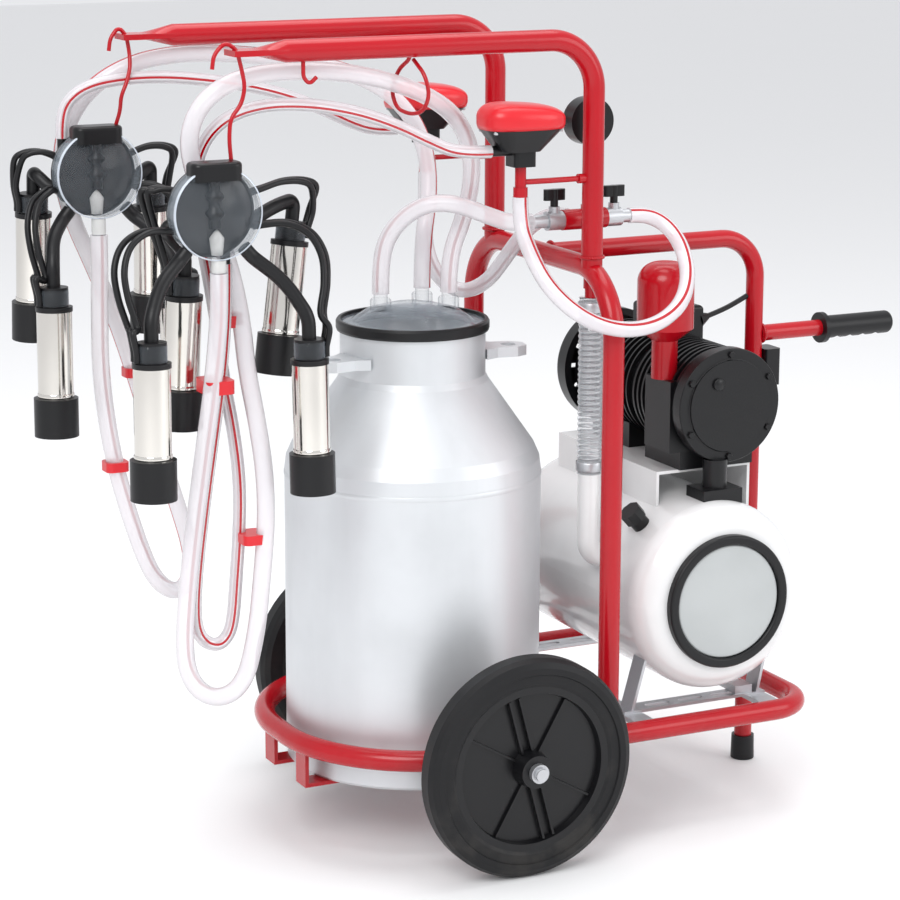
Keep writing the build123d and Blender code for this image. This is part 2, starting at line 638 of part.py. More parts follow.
SEPARATOR = (PUMP_X - 65, -92.0)
SEPARATOR_NECK = 82.0           # above the shaft line
with BuildPart() as oil_separator:
    with BuildSketch(Plane.XY.offset(PUMP_Z + 32)):
        with Locations(SEPARATOR):
            Circle(17)
    extrude(amount=SEPARATOR_NECK - 32)
    with BuildSketch(Plane.XY.offset(PUMP_Z + SEPARATOR_NECK)):
        with Locations(SEPARATOR):
            Circle(17)
    with BuildSketch(Plane.XY.offset(PUMP_Z + SEPARATOR_NECK + 16)):
        with Locations(SEPARATOR):
            Circle(37)
    loft()
    with BuildSketch(Plane.XY.offset(PUMP_Z + SEPARATOR_NECK + 16)):
        with Locations(SEPARATOR):
            Circle(37)
    extrude(amount=86)
    fillet(oil_separator.edges().group_by(Axis.Z)[-1], 26)
    add(pump_housing.part, mode=Mode.SUBTRACT)
save(oil_separator, "oil_separator")

with BuildPart() as terminal_box:
    with BuildSketch(Plane.XY.offset(PUMP_Z + 54)):
        with Locations((PUMP_X + 12, 30)):
            Rectangle(64, 76)
    extrude(amount=52)
    fillet(terminal_box.edges().group_by(Axis.Z)[-1], 6)
    gland_plane = Plane(origin=(PUMP_X + 42, 0, 628), z_dir=(1, 0, 0.28))
    with BuildSketch(gland_plane):
        Circle(11)
    with BuildSketch(gland_plane.offset(14)):
        Circle(4.5)
    loft()
    add(cut_round(70, *MOTOR_Y), mode=Mode.SUBTRACT)
save(terminal_box, "terminal_box")

SWITCH_X = REAR_X + REAR_R
with BuildPart() as switch_box:
    with BuildSketch(Plane.XY.offset(532)):
        with Locations((SWITCH_X + 10, 0)):
            RectangleRounded(24, 34, 4)
    extrude(amount=50)
    add(spine_outline.part, mode=Mode.SUBTRACT)
    with BuildSketch(Plane.YZ.offset(SWITCH_X + 14)):
        with Locations((0, 560)):
            Rectangle(16, 26)
    extrude(amount=10, mode=Mode.SUBTRACT)
save(switch_box, "switch_box")

ROCKER_AXIS_X = SWITCH_X + 20.0
with BuildPart() as rocker:
    with BuildSketch(Plane.XZ.offset(-7.5)):
        with BuildLine():
            Polyline((ROCKER_AXIS_X - 2.5, 549.5), (ROCKER_AXIS_X - 2.5, 570.5),
                     (ROCKER_AXIS_X + 3, 571.5), (ROCKER_AXIS_X + 1, 560),
                     (ROCKER_AXIS_X + 5, 549), close=True)
        make_face()
    extrude(amount=15)
save(rocker, "switch_rocker")

# ------------------------------------------------------------- vacuum piping
MANIFOLD = (30.0, 92.0)


def pipe_x(start, stop, radius, y=MANIFOLD_Y, z=MANIFOLD_Z):
    """A round bar along X."""
    with BuildPart() as bar:
        with BuildSketch(Plane(origin=(start, y, z), z_dir=(1, 0, 0))):
            Circle(radius)
        extrude(amount=stop - start)
    return bar.part


def post_z(x, y, start, stop, radius):
    """A round bar along Z."""
    with BuildPart() as bar:
        with BuildSketch(Plane.XY.offset(start)):
            with Locations((x, y)):
                Circle(radius)
        extrude(amount=stop - start)
    return bar.part


with BuildPart() as vacuum_manifold:
    add(pipe_x(*MANIFOLD, MANIFOLD_R))
    add(post_z(RISER_X, MANIFOLD_Y, 700, MANIFOLD_Z, 11))
    add(post_z(RISER_X, MANIFOLD_Y, 688, 700, 9))
    add(post_z(GAUGE[0], MANIFOLD_Y, MANIFOLD_Z, MANIFOLD_Z + 18, 6))
    with BuildSketch(side_plane(MANIFOLD_Y, 52, MANIFOLD_Z)):
        Circle(8)
    extrude(amount=26)
save(vacuum_manifold, "vacuum_manifold")

TAPS = {"left": (8.0, -13.0, 19.0), "right": (114.0, 127.0, 105.0)}   # body end, tail end, stem
with BuildPart() as tap_bodies:
    add(pipe_x(TAPS["left"][0], MANIFOLD[0], 12))
    add(pipe_x(TAPS["left"][1], TAPS["left"][0], 8.5))
    add(pipe_x(MANIFOLD[1], TAPS["right"][0], 12))
    add(pipe_x(TAPS["right"][0], TAPS["right"][1], 8.5))
    for body_end, tail_end, stem_x in TAPS.values():
        add(post_z(stem_x, MANIFOLD_Y, MANIFOLD_Z, MANIFOLD_Z + 18, 7))
save(tap_bodies, "tap_bodies")

for tap_name, (body_end, tail_end, stem_x) in TAPS.items():
    with BuildPart() as tap_knob:
        add(post_z(stem_x, MANIFOLD_Y, MANIFOLD_Z + 18.3, MANIFOLD_Z + 40, 5))
        with BuildSketch(Plane.XY.offset(MANIFOLD_Z + 26)):
            with Locations((stem_x, MANIFOLD_Y)):
                SlotOverall(30, 8)
        extrude(amount=14)
    save(tap_knob, "tap_knob_" + tap_name)

gx, gy, gz = GAUGE
with BuildPart() as gauge_case:
    add(ring_stack([(gy - 12, gy + 12, GAUGE_R)], gx, gz).part)
    with BuildSketch(side_plane(gy - 2, gx, gz)):
        Circle(GAUGE_R - 3)
    extrude(amount=14, mode=Mode.SUBTRACT)
    add(post_z(gx, MANIFOLD_Y, MANIFOLD_Z + 18, gz - GAUGE_R + 1.5, 4))
save(gauge_case, "gauge_case")

with BuildPart() as gauge_needle:
    add(ring_stack([(gy - 1.7, gy + 2, 3)], gx, gz).part)
    with BuildSketch(side_plane(gy - 0.8, gx, gz)):
        Polygon((-12, -16), (-11, -17), (8, 4), (4, 8), align=None)
    extrude(amount=1.2)
save(gauge_needle, "gauge_needle")

with BuildPart() as suction_hose:
    add(post_z(RISER_X, MANIFOLD_Y, ELBOW_TOP, 688, 17))
save(suction_hose, "suction_hose")

# ---------------------------------------------------------------- pulsators
PULSATOR_YS = (-ARM_Y, ARM_Y)
CAP_Z = 915.0
with BuildPart() as pulsator_caps:
    for y in PULSATOR_YS:
        with BuildSketch(Plane.XY.offset(CAP_Z)):
            with Locations((PULSATOR_X, y)):
                RectangleRounded(110, 74, 30)
        extrude(amount=14)
        with BuildSketch(Plane.XY.offset(CAP_Z + 14)):
            with Locations((PULSATOR_X, y)):
                RectangleRounded(108, 72, 29)
        with BuildSketch(Plane.XY.offset(CAP_Z + 36)):
            with Locations((PULSATOR_X - 4, y)):
                RectangleRounded(62, 40, 18)
        loft()
save(pulsator_caps, "pulsator_caps")

with BuildPart() as pulsator_bodies:
    for y in PULSATOR_YS:
        with BuildSketch(Plane.XY.offset(CAP_Z)):
            with Locations((PULSATOR_X, y)):
                RectangleRounded(104, 68, 28)
        with BuildSketch(Plane.XY.offset(CAP_Z - 28)):
            with Locations((PULSATOR_X - 4, y)):
                RectangleRounded(52, 40, 12)
        loft()
        with BuildSketch(Plane.XY.offset(868)):
            with Locations((PULSATOR_X, y)):
                RectangleRounded(30, 30, 5)
        extrude(amount=CAP_Z - 24 - 868)
        add(pipe_x(PULSATOR_X - 42, PULSATOR_X, 6.5, y, PULSATOR_PORT_Z))
save(pulsator_bodies, "pulsator_bodies")

with BuildPart() as pulsator_brackets:
    for y in PULSATOR_YS:
        add(post_z(PULSATOR_X, y, 842, 868, 7))
        add(post_z(PULSATOR_X, y, 830, 842, 9))
        add(pipe_x(PULSATOR_X, HOOP_X - 8, 3.5, y, ROD_Z))
        add(pipe_x(HOOP_X - FRAME_R - 8, HOOP_X - 8, 6, y, ROD_Z))
    add(arm_near.part, mode=Mode.SUBTRACT)
    add(arm_far.part, mode=Mode.SUBTRACT)
    add(bent_tube([(HOOP_X, -ARM_Y, 760), (HOOP_X, -ARM_Y, 950), (HOOP_X + 1, -ARM_Y, 990)],
                  5, FRAME_R).part, mode=Mode.SUBTRACT)
    add(bent_tube([(HOOP_X, ARM_Y, 760), (HOOP_X, ARM_Y, 950), (HOOP_X + 1, ARM_Y, 990)],
                  5, FRAME_R).part, mode=Mode.SUBTRACT)
save(pulsator_brackets, "pulsator_brackets")

# ----------------------------------------------------------------- clusters
BOWL_Y = (-18.0, 6.0)          # front and back of the clear bowl, from the claw's middle
BOSS_R = 38.0
CAP_SIZE = (64.0, 34.0, 22.0)  # the block on top that takes the hanger
CAP_BACK = 12.0
PORT_R = 8.5


def claw_cap(x, y, z):
    """The block over the top of a claw's bowl."""
    with BuildPart() as cap:
        with BuildSketch(Plane.XY.offset(z + CLAW_R - 17)):
            with Locations((x, y + CAP_BACK - CAP_SIZE[1] / 2)):
                RectangleRounded(CAP_SIZE[0], CAP_SIZE[1], 12)
        extrude(amount=CAP_SIZE[2])
        fillet(cap.edges().group_by(Axis.Z)[-1], 5)
    return cap.part


with BuildPart() as claw_bowls:
    for side, (x, y, z) in CLAW.items():
        with BuildSketch(side_plane(y + BOWL_Y[0], x, z)):
            Circle(CLAW_R)
        extrude(amount=BOWL_Y[1] - BOWL_Y[0])
        with BuildSketch(side_plane(y + BOWL_Y[0] + 3, x, z)):
            Circle(CLAW_R - 3)
        extrude(amount=BOWL_Y[1] - BOWL_Y[0] - 3, mode=Mode.SUBTRACT)
        add(claw_cap(x, y, z), mode=Mode.SUBTRACT)
        spout_x, spout_y, spout_z = MILK_STARTS[side]
        add(post_z(spout_x, spout_y, spout_z, z - CLAW_R + 2, 8.5))
save(claw_bowls, "claw_bowls")


def claw_ports(x, y, z):
    """Where the four short milk tubes leave a claw: each start and the point ahead of it."""
    ports = []
    for hand, angle, wall, back in ((-1, 50, CLAW_R, -5), (1, 50, CLAW_R, -5),
                                    (-1, 20, BOSS_R, 22), (1, 20, BOSS_R, 22)):
        reach = wall + PORT_R ** 2 / (2 * wall) + 0.1
        along = (hand * cos(radians(angle)), -sin(radians(angle)))
        ports.append(((x + reach * along[0], y + back, z + reach * along[1]),
                      (x + (reach + 16) * along[0], y + back, z + (reach + 16) * along[1])))
    return ports


with BuildPart() as claw_tops:
    for side, (x, y, z) in CLAW.items():
        add(ring_stack([(y + BOWL_Y[1], y + 12, CLAW_R - 1), (y + 12, y + 34, BOSS_R)], x, z).part)
        add(claw_cap(x, y, z))
    near_x, near_y, near_z = PULSE_STARTS["near"]
    add(post_z(near_x, near_y, near_z, CLAW["near"][2] - 30, 6))
    far_x, far_y, far_z = PULSE_STARTS["far"]
    add(post_z(far_x, far_y, CLAW["far"][2] + 10, far_z, 6))
save(claw_tops, "claw_tops")


def cup_frame(cup):
    """The plane at a cup's mouth, its normal along the cup towards the claw."""
    x, y, z, lean_x, lean_y = cup
    return Plane(origin=(x, y, z), z_dir=(lean_x, lean_y, CUP_LENGTH))


def cup_ring(plane, start, stop, outer, inner):
    """A ring along a cup, from one height above its mouth to another."""
    with BuildPart() as ring:
        with BuildSketch(plane.offset(start)):
            Circle(outer)
            Circle(inner, mode=Mode.SUBTRACT)
        extrude(amount=stop - start)
    return ring.part


LINER_R = 16.0
with BuildPart() as cup_shells:
    for cups in CUPS.values():
        for cup in cups:
            add(cup_ring(cup_frame(cup), HEAD_HEIGHT, SHELL_TOP, CUP_R, CUP_R - 1.5))
save(cup_shells, "cup_shells")

with BuildPart() as cup_liners:
    for cups in CUPS.values():
        for cup in cups:
            add(cup_ring(cup_frame(cup), 0, HEAD_HEIGHT, HEAD_R, 12))
            add(cup_ring(cup_frame(cup), HEAD_HEIGHT, SHELL_TOP + 2, LINER_R, 12))
            add(cup_ring(cup_frame(cup), SHELL_TOP, SHELL_TOP + 6, CUP_R + 1, 12))
            add(cup_ring(cup_frame(cup), SHELL_TOP + 6, CUP_LENGTH, CUP_R - 4, 8))
save(cup_liners, "cup_liners")

MILK_TUBE_R = 8.5
PULSE_TUBE_R = 4.2


def short_tube(points, radius):
    """A short rubber tube between claw and cup, bends as wide as they fit."""
    with BuildPart() as tube:
        with BuildLine() as path:
            FilletPolyline(*points, radius=corner_radii(points))
        with BuildSketch(cross_plane(path.line)):
            Circle(radius)
        sweep(path=path.line)
    return tube.part


def above_cup(cup, height, out=0.0, back=0.0):
    """A point on the cup's own axis, shifted sideways."""
    point = cup_frame(cup).from_local_coords(Vector(0, 0, CUP_LENGTH + height))
    return (point.X + out, point.Y + back, point.Z)


with BuildPart() as short_tubes:
    for side, cups in CUPS.items():
        claw_x = CLAW[side][0]
        for cup, port in zip(cups, claw_ports(*CLAW[side])):
            hand = -1 if cup[0] < claw_x else 1
            end = above_cup(cup, 0)
            rise = above_cup(cup, 26)
            out, ahead = port
            mid = ((ahead[0] + rise[0]) / 2 + hand * 6, (ahead[1] + rise[1]) / 2,
                   (ahead[2] + rise[2]) / 2 + 6)
            add(short_tube([out, ahead, mid, rise, end], MILK_TUBE_R))
save(short_tubes, "short_milk_tubes")

# ------------------------------------------------------- hangers and clips
WIRE_R = 2.5
HOOKS = [
    [(-458, -133, 1002), (-456, -133, 1018), (-442, -133, 1033), (-427, -133, 1024),
     (-421, -133, 1000), (-417, -133, 980), (-422, -133, 960), (-436, -133, 944),
     (-438, -133, 920), (-436, -134, 894)],
    [(-488, 133, 1003), (-486, 133, 1018), (-475, 133, 1032), (-465, 133, 1022),
     (-461, 133, 1000), (-463, 126, 982), (-470, 121, 964), (-478, 120, 948),
     (-478, 124, 930), (-483, 130, 909)],
    [(-196, -118, 1008), (-196, -112, 1001), (-199, -90, 988), (-204, -81, 962), (-201, -90, 941),
     (-194, -116, 936), (-188, -138, 942), (-186, -150, 962), (-190, -146, 986), (-195, -124, 1003)],
    [(-343, -133, 1009), (-343, -133, 988), (-335, -133, 980), (-326, -133, 988)],
]
with BuildPart() as wire_hooks:
    for points in HOOKS:
        add(bent_tube(points, corner_radii(points), WIRE_R).part)
    for node in (arm_near, arm_far, claw_tops):
        add(node.part, mode=Mode.SUBTRACT)
save(wire_hooks, "wire_hooks")

CLIPS = [((-465, -146, 632), (36, 44, 16)), ((-418, -139, 440), (32, 38, 12)),
         ((-427, -99, 700), (32, 36, 14)), ((-500, 110, 484), (30, 30, 12)),
         ((-450, 172, 590), (28, 28, 12))]
near_milk = hose("near_milk_hose", NEAR_MILK, MILK_R)
near_pulse = hose("near_pulse_hose", NEAR_PULSE, PULSE_R)
far_milk = hose("far_milk_hose", FAR_MILK, MILK_R)
far_pulse = hose("far_pulse_hose", FAR_PULSE, PULSE_R)
hose("lid_vacuum_hose", LID_ARCH, MILK_R)
hose("near_supply_hose", NEAR_SUPPLY, VACUUM_R)
hose("far_supply_hose", FAR_SUPPLY, VACUUM_R)
hose("motor_cable", MOTOR_CABLE, 3.5)

with BuildPart() as hose_clips:
    for centre, (length, width, height) in CLIPS:
        with BuildSketch(Plane.XY.offset(centre[2] - height / 2)):
            with Locations(centre[:2]):
                RectangleRounded(length, width, 8)
        extrude(amount=height)
    for piece in (near_milk, near_pulse, far_milk):
        add(piece.part, mode=Mode.SUBTRACT)
save(hose_clips, "hose_clips")
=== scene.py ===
"""Looks of a mobile two-cluster milking machine, built round its CAD frame.

Every length is in metres in the frame's own axes: +X to the rear, -Y the near
side, +Z up. Each sub-assembly is a class that holds its sizes, gives its CAD
nodes a finish and adds the pieces that only the looks need.
"""

import logging
import math
from dataclasses import dataclass
from enum import Enum

import bpy
import numpy as np
from mathutils import Matrix, Vector


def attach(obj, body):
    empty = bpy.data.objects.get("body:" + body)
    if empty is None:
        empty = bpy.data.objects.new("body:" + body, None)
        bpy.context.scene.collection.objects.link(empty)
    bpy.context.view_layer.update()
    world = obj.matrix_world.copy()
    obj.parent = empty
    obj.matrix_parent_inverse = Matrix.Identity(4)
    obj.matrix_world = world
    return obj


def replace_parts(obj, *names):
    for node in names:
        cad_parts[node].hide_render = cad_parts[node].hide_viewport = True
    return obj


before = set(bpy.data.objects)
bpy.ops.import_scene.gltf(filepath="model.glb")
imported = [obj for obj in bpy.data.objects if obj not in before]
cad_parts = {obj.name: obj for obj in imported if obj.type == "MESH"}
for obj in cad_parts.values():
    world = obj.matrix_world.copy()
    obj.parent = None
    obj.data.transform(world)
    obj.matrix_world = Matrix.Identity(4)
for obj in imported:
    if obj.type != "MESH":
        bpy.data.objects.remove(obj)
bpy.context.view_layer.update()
LOG = logging.getLogger("milking_machine")
TAU = 2 * math.pi
MACHINE = "machine"
UP = (0.0, 0.0, 1.0)
REARWARD = (1.0, 0.0, 0.0)
NEARWARD = (0.0, -1.0, 0.0)
FARWARD = (0.0, 1.0, 0.0)
SIDES = (("near", -1), ("far", 1))

Colour = tuple[float, float, float]
Point = tuple[float, float, float]
Profile = tuple[tuple[float, float], ...]


# ------------------------------------------------------------ shader maths
class Value:
    """One shader value whose arithmetic adds Math nodes to its graph."""

    def __init__(self, graph: "Graph", socket: bpy.types.NodeSocket) -> None:
        """Wrap one output socket of a graph."""
        self.graph = graph
        self.socket = socket

    def _maths(self, operation: str, *operands: "Value | float") -> "Value":
        """Add a Math node to the graph.

        Args:
            operation: The node's operation.
            operands: Its inputs in order.

        Returns:
            The node's result.
        """
        return self.graph.node("ShaderNodeMath", dict(enumerate(operands)), operation=operation)

    def __add__(self, other: "Value | float") -> "Value":
        """The sum."""
        return self._maths("ADD", self, other)

    def __radd__(self, other: float) -> "Value":
        """The sum with a number in front."""
        return self._maths("ADD", other, self)

    def __sub__(self, other: "Value | float") -> "Value":
        """The difference."""
        return self._maths("SUBTRACT", self, other)

    def __rsub__(self, other: float) -> "Value":
        """The difference from a number."""
        return self._maths("SUBTRACT", other, self)

    def __mul__(self, other: "Value | float") -> "Value":
        """The product."""
        return self._maths("MULTIPLY", self, other)

    def __rmul__(self, other: float) -> "Value":
        """The product with a number in front."""
        return self._maths("MULTIPLY", other, self)

    def __pow__(self, other: "Value | float") -> "Value":
        """The power."""
        return self._maths("POWER", self, other)

    def __rpow__(self, other: float) -> "Value":
        """A number raised to the value."""
        return self._maths("POWER", other, self)

    def fract(self) -> "Value":
        """The part after the decimal point."""
        return self._maths("FRACT", self)

    def distance(self, other: "Value | float") -> "Value":
        """The absolute difference from another value."""
        return self._maths("ABSOLUTE", self - other)

    def sine(self) -> "Value":
        """The sine of the value in radians."""
        return self._maths("SINE", self)

    def below(self, edge: "Value | float") -> "Value":
        """1 where the value is under an edge, else 0."""
        return self._maths("LESS_THAN", self, edge)

    def ramp(self, low: float, high: float) -> "Value":
        """Rise smoothly from 0 to 1 between two levels.

        Args:
            low: The level where the rise starts.
            high: The level where it ends.

        Returns:
            0 at low and under, 1 at high and over.
        """
        return self.graph.node("ShaderNodeMapRange",
                               {"Value": self, "From Min": low, "From Max": high},
                               interpolation_type="SMOOTHSTEP", clamp=True)


class Graph:
    """The node tree of one material."""

    def __init__(self, name: str) -> None:
        """Start an empty material."""
        self.material = bpy.data.materials.new(name)
        self.material.use_nodes = True
        self.tree = self.material.node_tree
        self.tree.nodes.clear()

    def node(self, kind: str, inputs: dict | None = None, output: int | str = 0,
             **settings: object) -> "Value | bpy.types.Node":
        """Add a node, set it up and join its inputs.

        Args:
            kind: The node's Blender type.
            inputs: Values or constants by socket name or number.
            output: The output that is wanted.
            **settings: The node's own settings, made before its inputs.

        Returns:
            The output as a value, or the node itself where it has no output.
        """
        made = self.tree.nodes.new(kind)
        for key, value in settings.items():
            setattr(made, key, value)
        for key, value in (inputs or {}).items():
            if isinstance(value, Value):
                self.tree.links.new(value.socket, made.inputs[key])
            else:
                made.inputs[key].default_value = value
        return Value(self, made.outputs[output]) if made.outputs else made

    def coords(self, which: str = "Object") -> Value:
        """A coordinate set as a vector."""
        return self.node("ShaderNodeTexCoord", output=which)

    def axes(self, which: str = "Object") -> tuple[Value, ...]:
        """The three parts of a coordinate set."""
        split = self.node("ShaderNodeSeparateXYZ", {0: self.coords(which)})
        return tuple(Value(self, part) for part in split.socket.node.outputs)

    def noise(self, scale: float, detail: float = 3.0, stretch: Point = (1, 1, 1)) -> Value:
        """Soft noise over the object.

        Args:
            scale: How fine it is, per metre.
            detail: How many octaves it has.
            stretch: Scale along each axis, low where the pattern is drawn out.

        Returns:
            The noise, about 0.5.
        """
        place = self.node("ShaderNodeMapping", {"Vector": self.coords(), "Scale": stretch})
        return self.node("ShaderNodeTexNoise", {"Vector": place, "Scale": scale, "Detail": detail})

    def facing(self, blend: float) -> Value:
        """0 where a clear wall is seen square on, 1 at its edge."""
        return self.node("ShaderNodeLayerWeight", {"Blend": blend}, output="Facing")

    def mix(self, share: Value, first: "Colour | Value", second: "Colour | Value") -> Value:
        """Mix two colours.

        Args:
            share: How much of the second colour there is.
            first: The colour at 0.
            second: The colour at 1.

        Returns:
            The mixed colour.
        """
        return self.node("ShaderNodeMix", {0: share, 6: rgba(first), 7: rgba(second)},
                         output=2, data_type="RGBA")

    def bump(self, height: Value, strength: float, depth: float) -> Value:
        """Tilt the surface by a height.

        Args:
            height: The height, about 0 to 1.
            strength: How much of the tilt is kept.
            depth: The depth of a whole unit of height.

        Returns:
            The tilted normal.
        """
        return self.node("ShaderNodeBump", {"Height": height, "Strength": strength,
                                            "Distance": depth})

    def close(self, **inputs: object) -> bpy.types.Material:
        """End the graph in a Principled shader.

        Args:
            **inputs: The shader's inputs, with _ for each space in a name.

        Returns:
            The finished material.
        """
        named = {key.replace("_", " "): value for key, value in inputs.items()}
        shader = self.node("ShaderNodeBsdfPrincipled", named)
        self.node("ShaderNodeOutputMaterial", {"Surface": shader})
        return self.material


def rgba(colour: Colour | Value) -> tuple[float, ...] | Value:
    """A colour as four numbers, or a shader value left as it is."""
    return colour if isinstance(colour, Value) else (*colour[:3], 1.0)


def shade(colour: Colour, factor: float) -> Colour:
    """A colour made lighter or darker."""
    return tuple(min(1.0, part * factor) for part in colour)


# ------------------------------------------------------------------ finishes
class Grain(Enum):
    """A surface's texture: its noise's scale, its bump's strength and its bump's depth."""

    PAINT = (45.0, 0.05, 0.0006)
    MOULDED = (1400.0, 0.07, 0.0001)
    CAST = (520.0, 0.35, 0.0004)
    TURNED = (60.0, 0.16, 0.0002)
    PLAIN = (0.0, 0.0, 0.0)


DUST = (0.32, 0.29, 0.25)
DUST_REACH = 0.3
TOOL_MARKS = 5200.0


@dataclass(frozen=True)
class Finish:
    """One opaque finish.

    Attributes:
        slot: The material slot it fills.
        colour: Its base colour.
        roughness: Its mean roughness.
        grain: Its texture.
        metallic: How metallic it is.
        coat: How much lacquer lies over it.
        dust: How much dust it has near the floor.
        specular: How strongly it reflects.
    """

    slot: str
    colour: Colour
    roughness: float
    grain: Grain = Grain.PLAIN
    metallic: float = 0.0
    coat: float = 0.0
    dust: float = 0.0
    specular: float = 0.5

    def build(self) -> bpy.types.Material:
        """Make the material, with colour and gloss in soft patches.

        Returns:
            The finished material.
        """
        graph = Graph(self.slot)
        patch = graph.noise(9.0, 4.0)
        colour = graph.mix(patch.ramp(0.35, 0.75) * 0.5, self.colour, shade(self.colour, 0.82))
        roughness = patch * 0.12 + (self.roughness - 0.06)
        normal = {}
        if self.grain is Grain.TURNED:
            streak = graph.noise(14.0, 4.0, (1, 1, 0.15))
            colour = graph.mix(streak.ramp(0.4, 0.7) * 0.35, colour, shade(self.colour, 0.8))
            roughness = streak * 0.2 + (self.roughness - 0.1)
        if self.grain is not Grain.PLAIN:
            normal["Normal"] = self.relief(graph)
        if self.dust:
            low = 1.0 - graph.axes()[2].ramp(0.0, DUST_REACH)
            patchy = low * graph.noise(30.0, 5.0).ramp(0.42, 0.7)
            colour = graph.mix(patchy * self.dust, colour, DUST)
        return graph.close(Base_Color=colour, Roughness=roughness, Metallic=self.metallic,
                           Coat_Weight=self.coat, Coat_Roughness=0.08,
                           Specular_IOR_Level=self.specular, **normal)

    def relief(self, graph: Graph) -> Value:
        """Turn the grain into a normal: rings sin(k z) on turned metal, else plain noise.

        Args:
            graph: The material's graph.

        Returns:
            The normal.
        """
        scale, strength, depth = self.grain.value
        if self.grain is Grain.TURNED:
            rings = (graph.axes()[2] * TOOL_MARKS).sine() * 0.5
            return graph.bump(rings + graph.noise(scale, 3.0, (1, 1, 6)), strength, depth)
        return graph.bump(graph.noise(scale, 2.0), strength, depth)


@dataclass(frozen=True)
class Clear:
    """A clear moulded part that still shows its edges.

    Attributes:
        slot: The material slot it fills.
        colour: Its tint.
        alpha: How solid it is where it is seen square on.
        roughness: Its roughness.
    """

    slot: str
    colour: Colour
    alpha: float
    roughness: float = 0.06

    def build(self) -> bpy.types.Material:
        """Make the material, more solid where the surface turns away.

        Returns:
            The finished material.
        """
        graph = Graph(self.slot)
        haze = graph.noise(35.0, 3.0) * 0.05
        edge = (graph.facing(0.35) ** 1.6) * (0.8 - self.alpha)
        return graph.close(Base_Color=rgba(self.colour), Roughness=self.roughness,
                           Alpha=edge + self.alpha + haze,
                           Coat_Weight=0.5, Coat_Roughness=0.03, IOR=1.45)


@dataclass(frozen=True)
class StripedHose:
    """Milky clear PVC with thin coloured lines drawn along it, and painted shade darkening its wall
    towards the edges.

    Attributes:
        slot: The material slot it fills.
        wall: The wall's colour.
        stripe: The lines' colour.
        stripes: How many lines there are round the hose.
        grooves: How many dark lines of painted shade mark the creases between the tubes of a twin
            hose.
        alpha: How solid the wall is where it is seen square on.
    """

    slot: str
    wall: Colour
    stripe: Colour
    stripes: int
    grooves: int = 0
    alpha: float = 0.55

    def build(self) -> bpy.types.Material:
        """Make the material, whose lines stand at set places of V, which runs round the hose; a twin
        hose also gets painted shade along its creases.

        Returns:
            The finished material.
        """
        graph = Graph(f"{self.slot}_{self.stripes}_{self.grooves}")
        around = graph.axes("UV")[1]
        facing = graph.facing(0.4)
        turn = (around * float(self.stripes) + 0.2).fract()
        line = turn.distance(0.5).below(0.03 * self.stripes)
        # Painted shade: the wall's colour darkens where it turns away from view, towards the hose's
        # edges.
        colour = graph.mix(facing.ramp(0.1, 0.9), self.wall, shade(self.wall, 0.74))
        alpha = facing * 0.35 + self.alpha
        # Painted shade: on a twin hose a dark, more solid line runs along each crease where the two
        # tubes meet.
        if self.grooves:
            groove = (around * float(self.grooves)).fract().distance(0.5).below(0.07)
            colour = graph.mix(groove * 0.6, colour, shade(self.wall, 0.45))
            alpha = alpha + groove * 0.3
        return graph.close(Base_Color=graph.mix(line, colour, self.stripe),
                           Alpha=alpha + line * 0.5, Roughness=0.16,
                           Normal=graph.bump(graph.noise(80.0, 2.0), 0.12, 0.0005),
                           Coat_Weight=0.7, Coat_Roughness=0.05)


class HoseKind(Enum):
    """What a free hose carries."""

    MILK = "milk"
    PULSE = "pulse"
    VACUUM = "vacuum"
    CABLE = "cable"


RED = (0.44, 0.003, 0.010)
BLACK = (0.006, 0.006, 0.007)
PVC = (0.86, 0.83, 0.86)
OPAQUE = (
    Finish("red_paint", RED, 0.24, Grain.PAINT, coat=0.15, dust=0.05, specular=0.35),
    Finish("red_plastic", (0.66, 0.012, 0.02), 0.3),
    Finish("switch_red", RED, 0.3),
    Finish("needle", (0.65, 0.03, 0.02), 0.4),
    Finish("rubber", BLACK, 0.38, Grain.MOULDED, specular=0.35),
    Finish("tyre", BLACK, 0.5, Grain.MOULDED, dust=0.05, specular=0.3),
    Finish("black_plastic", BLACK, 0.3, Grain.MOULDED, specular=0.35),
    Finish("black_castings", BLACK, 0.34, Grain.CAST, specular=0.35),
    Finish("zinc_steel", (0.56, 0.57, 0.59), 0.4, Grain.CAST, metallic=0.9),
    Finish("motor_steel", (0.33, 0.33, 0.34), 0.45, Grain.CAST, metallic=0.9),
    Finish("cast_aluminium", (0.70, 0.72, 0.74), 0.46, Grain.TURNED, metallic=0.55),
    Finish("polished_steel", (0.80, 0.77, 0.72), 0.12, metallic=1.0),
    Finish("white_enamel", (0.80, 0.80, 0.80), 0.2, Grain.PAINT, coat=0.6),
    Finish("grey_cover", (0.46, 0.48, 0.48), 0.35, Grain.PAINT),
)
FINISHES = {finish.slot: finish for finish in OPAQUE}
FINISHES["clear_plastic"] = Clear("clear_plastic", (0.36, 0.41, 0.46), 0.03)
# Near-black finish of the disc that paints the shade inside each clear claw bowl.
CLAW_COVER = Finish("claw_grey", (0.016, 0.016, 0.018), 0.24, specular=0.45)
CLAW_SPOUT = Clear("clear_plastic", (0.80, 0.80, 0.78), 0.6)
CLAW_FUNNEL = Clear("clear_plastic", (0.85, 0.85, 0.83), 0.7)
CLAW_RIM = Clear("clear_plastic", (0.66, 0.72, 0.80), 0.75)
SPRUNG_WALL = Clear("clear_hose", (0.74, 0.77, 0.80), 0.22, 0.15)
HOSE_LOOKS = {
    HoseKind.MILK: StripedHose("clear_hose", PVC, RED, 1),
    HoseKind.PULSE: StripedHose("clear_hose", PVC, RED, 2, grooves=2),
    HoseKind.VACUUM: StripedHose("clear_hose", PVC, RED, 1, alpha=0.6),
    HoseKind.CABLE: FINISHES["rubber"],
}


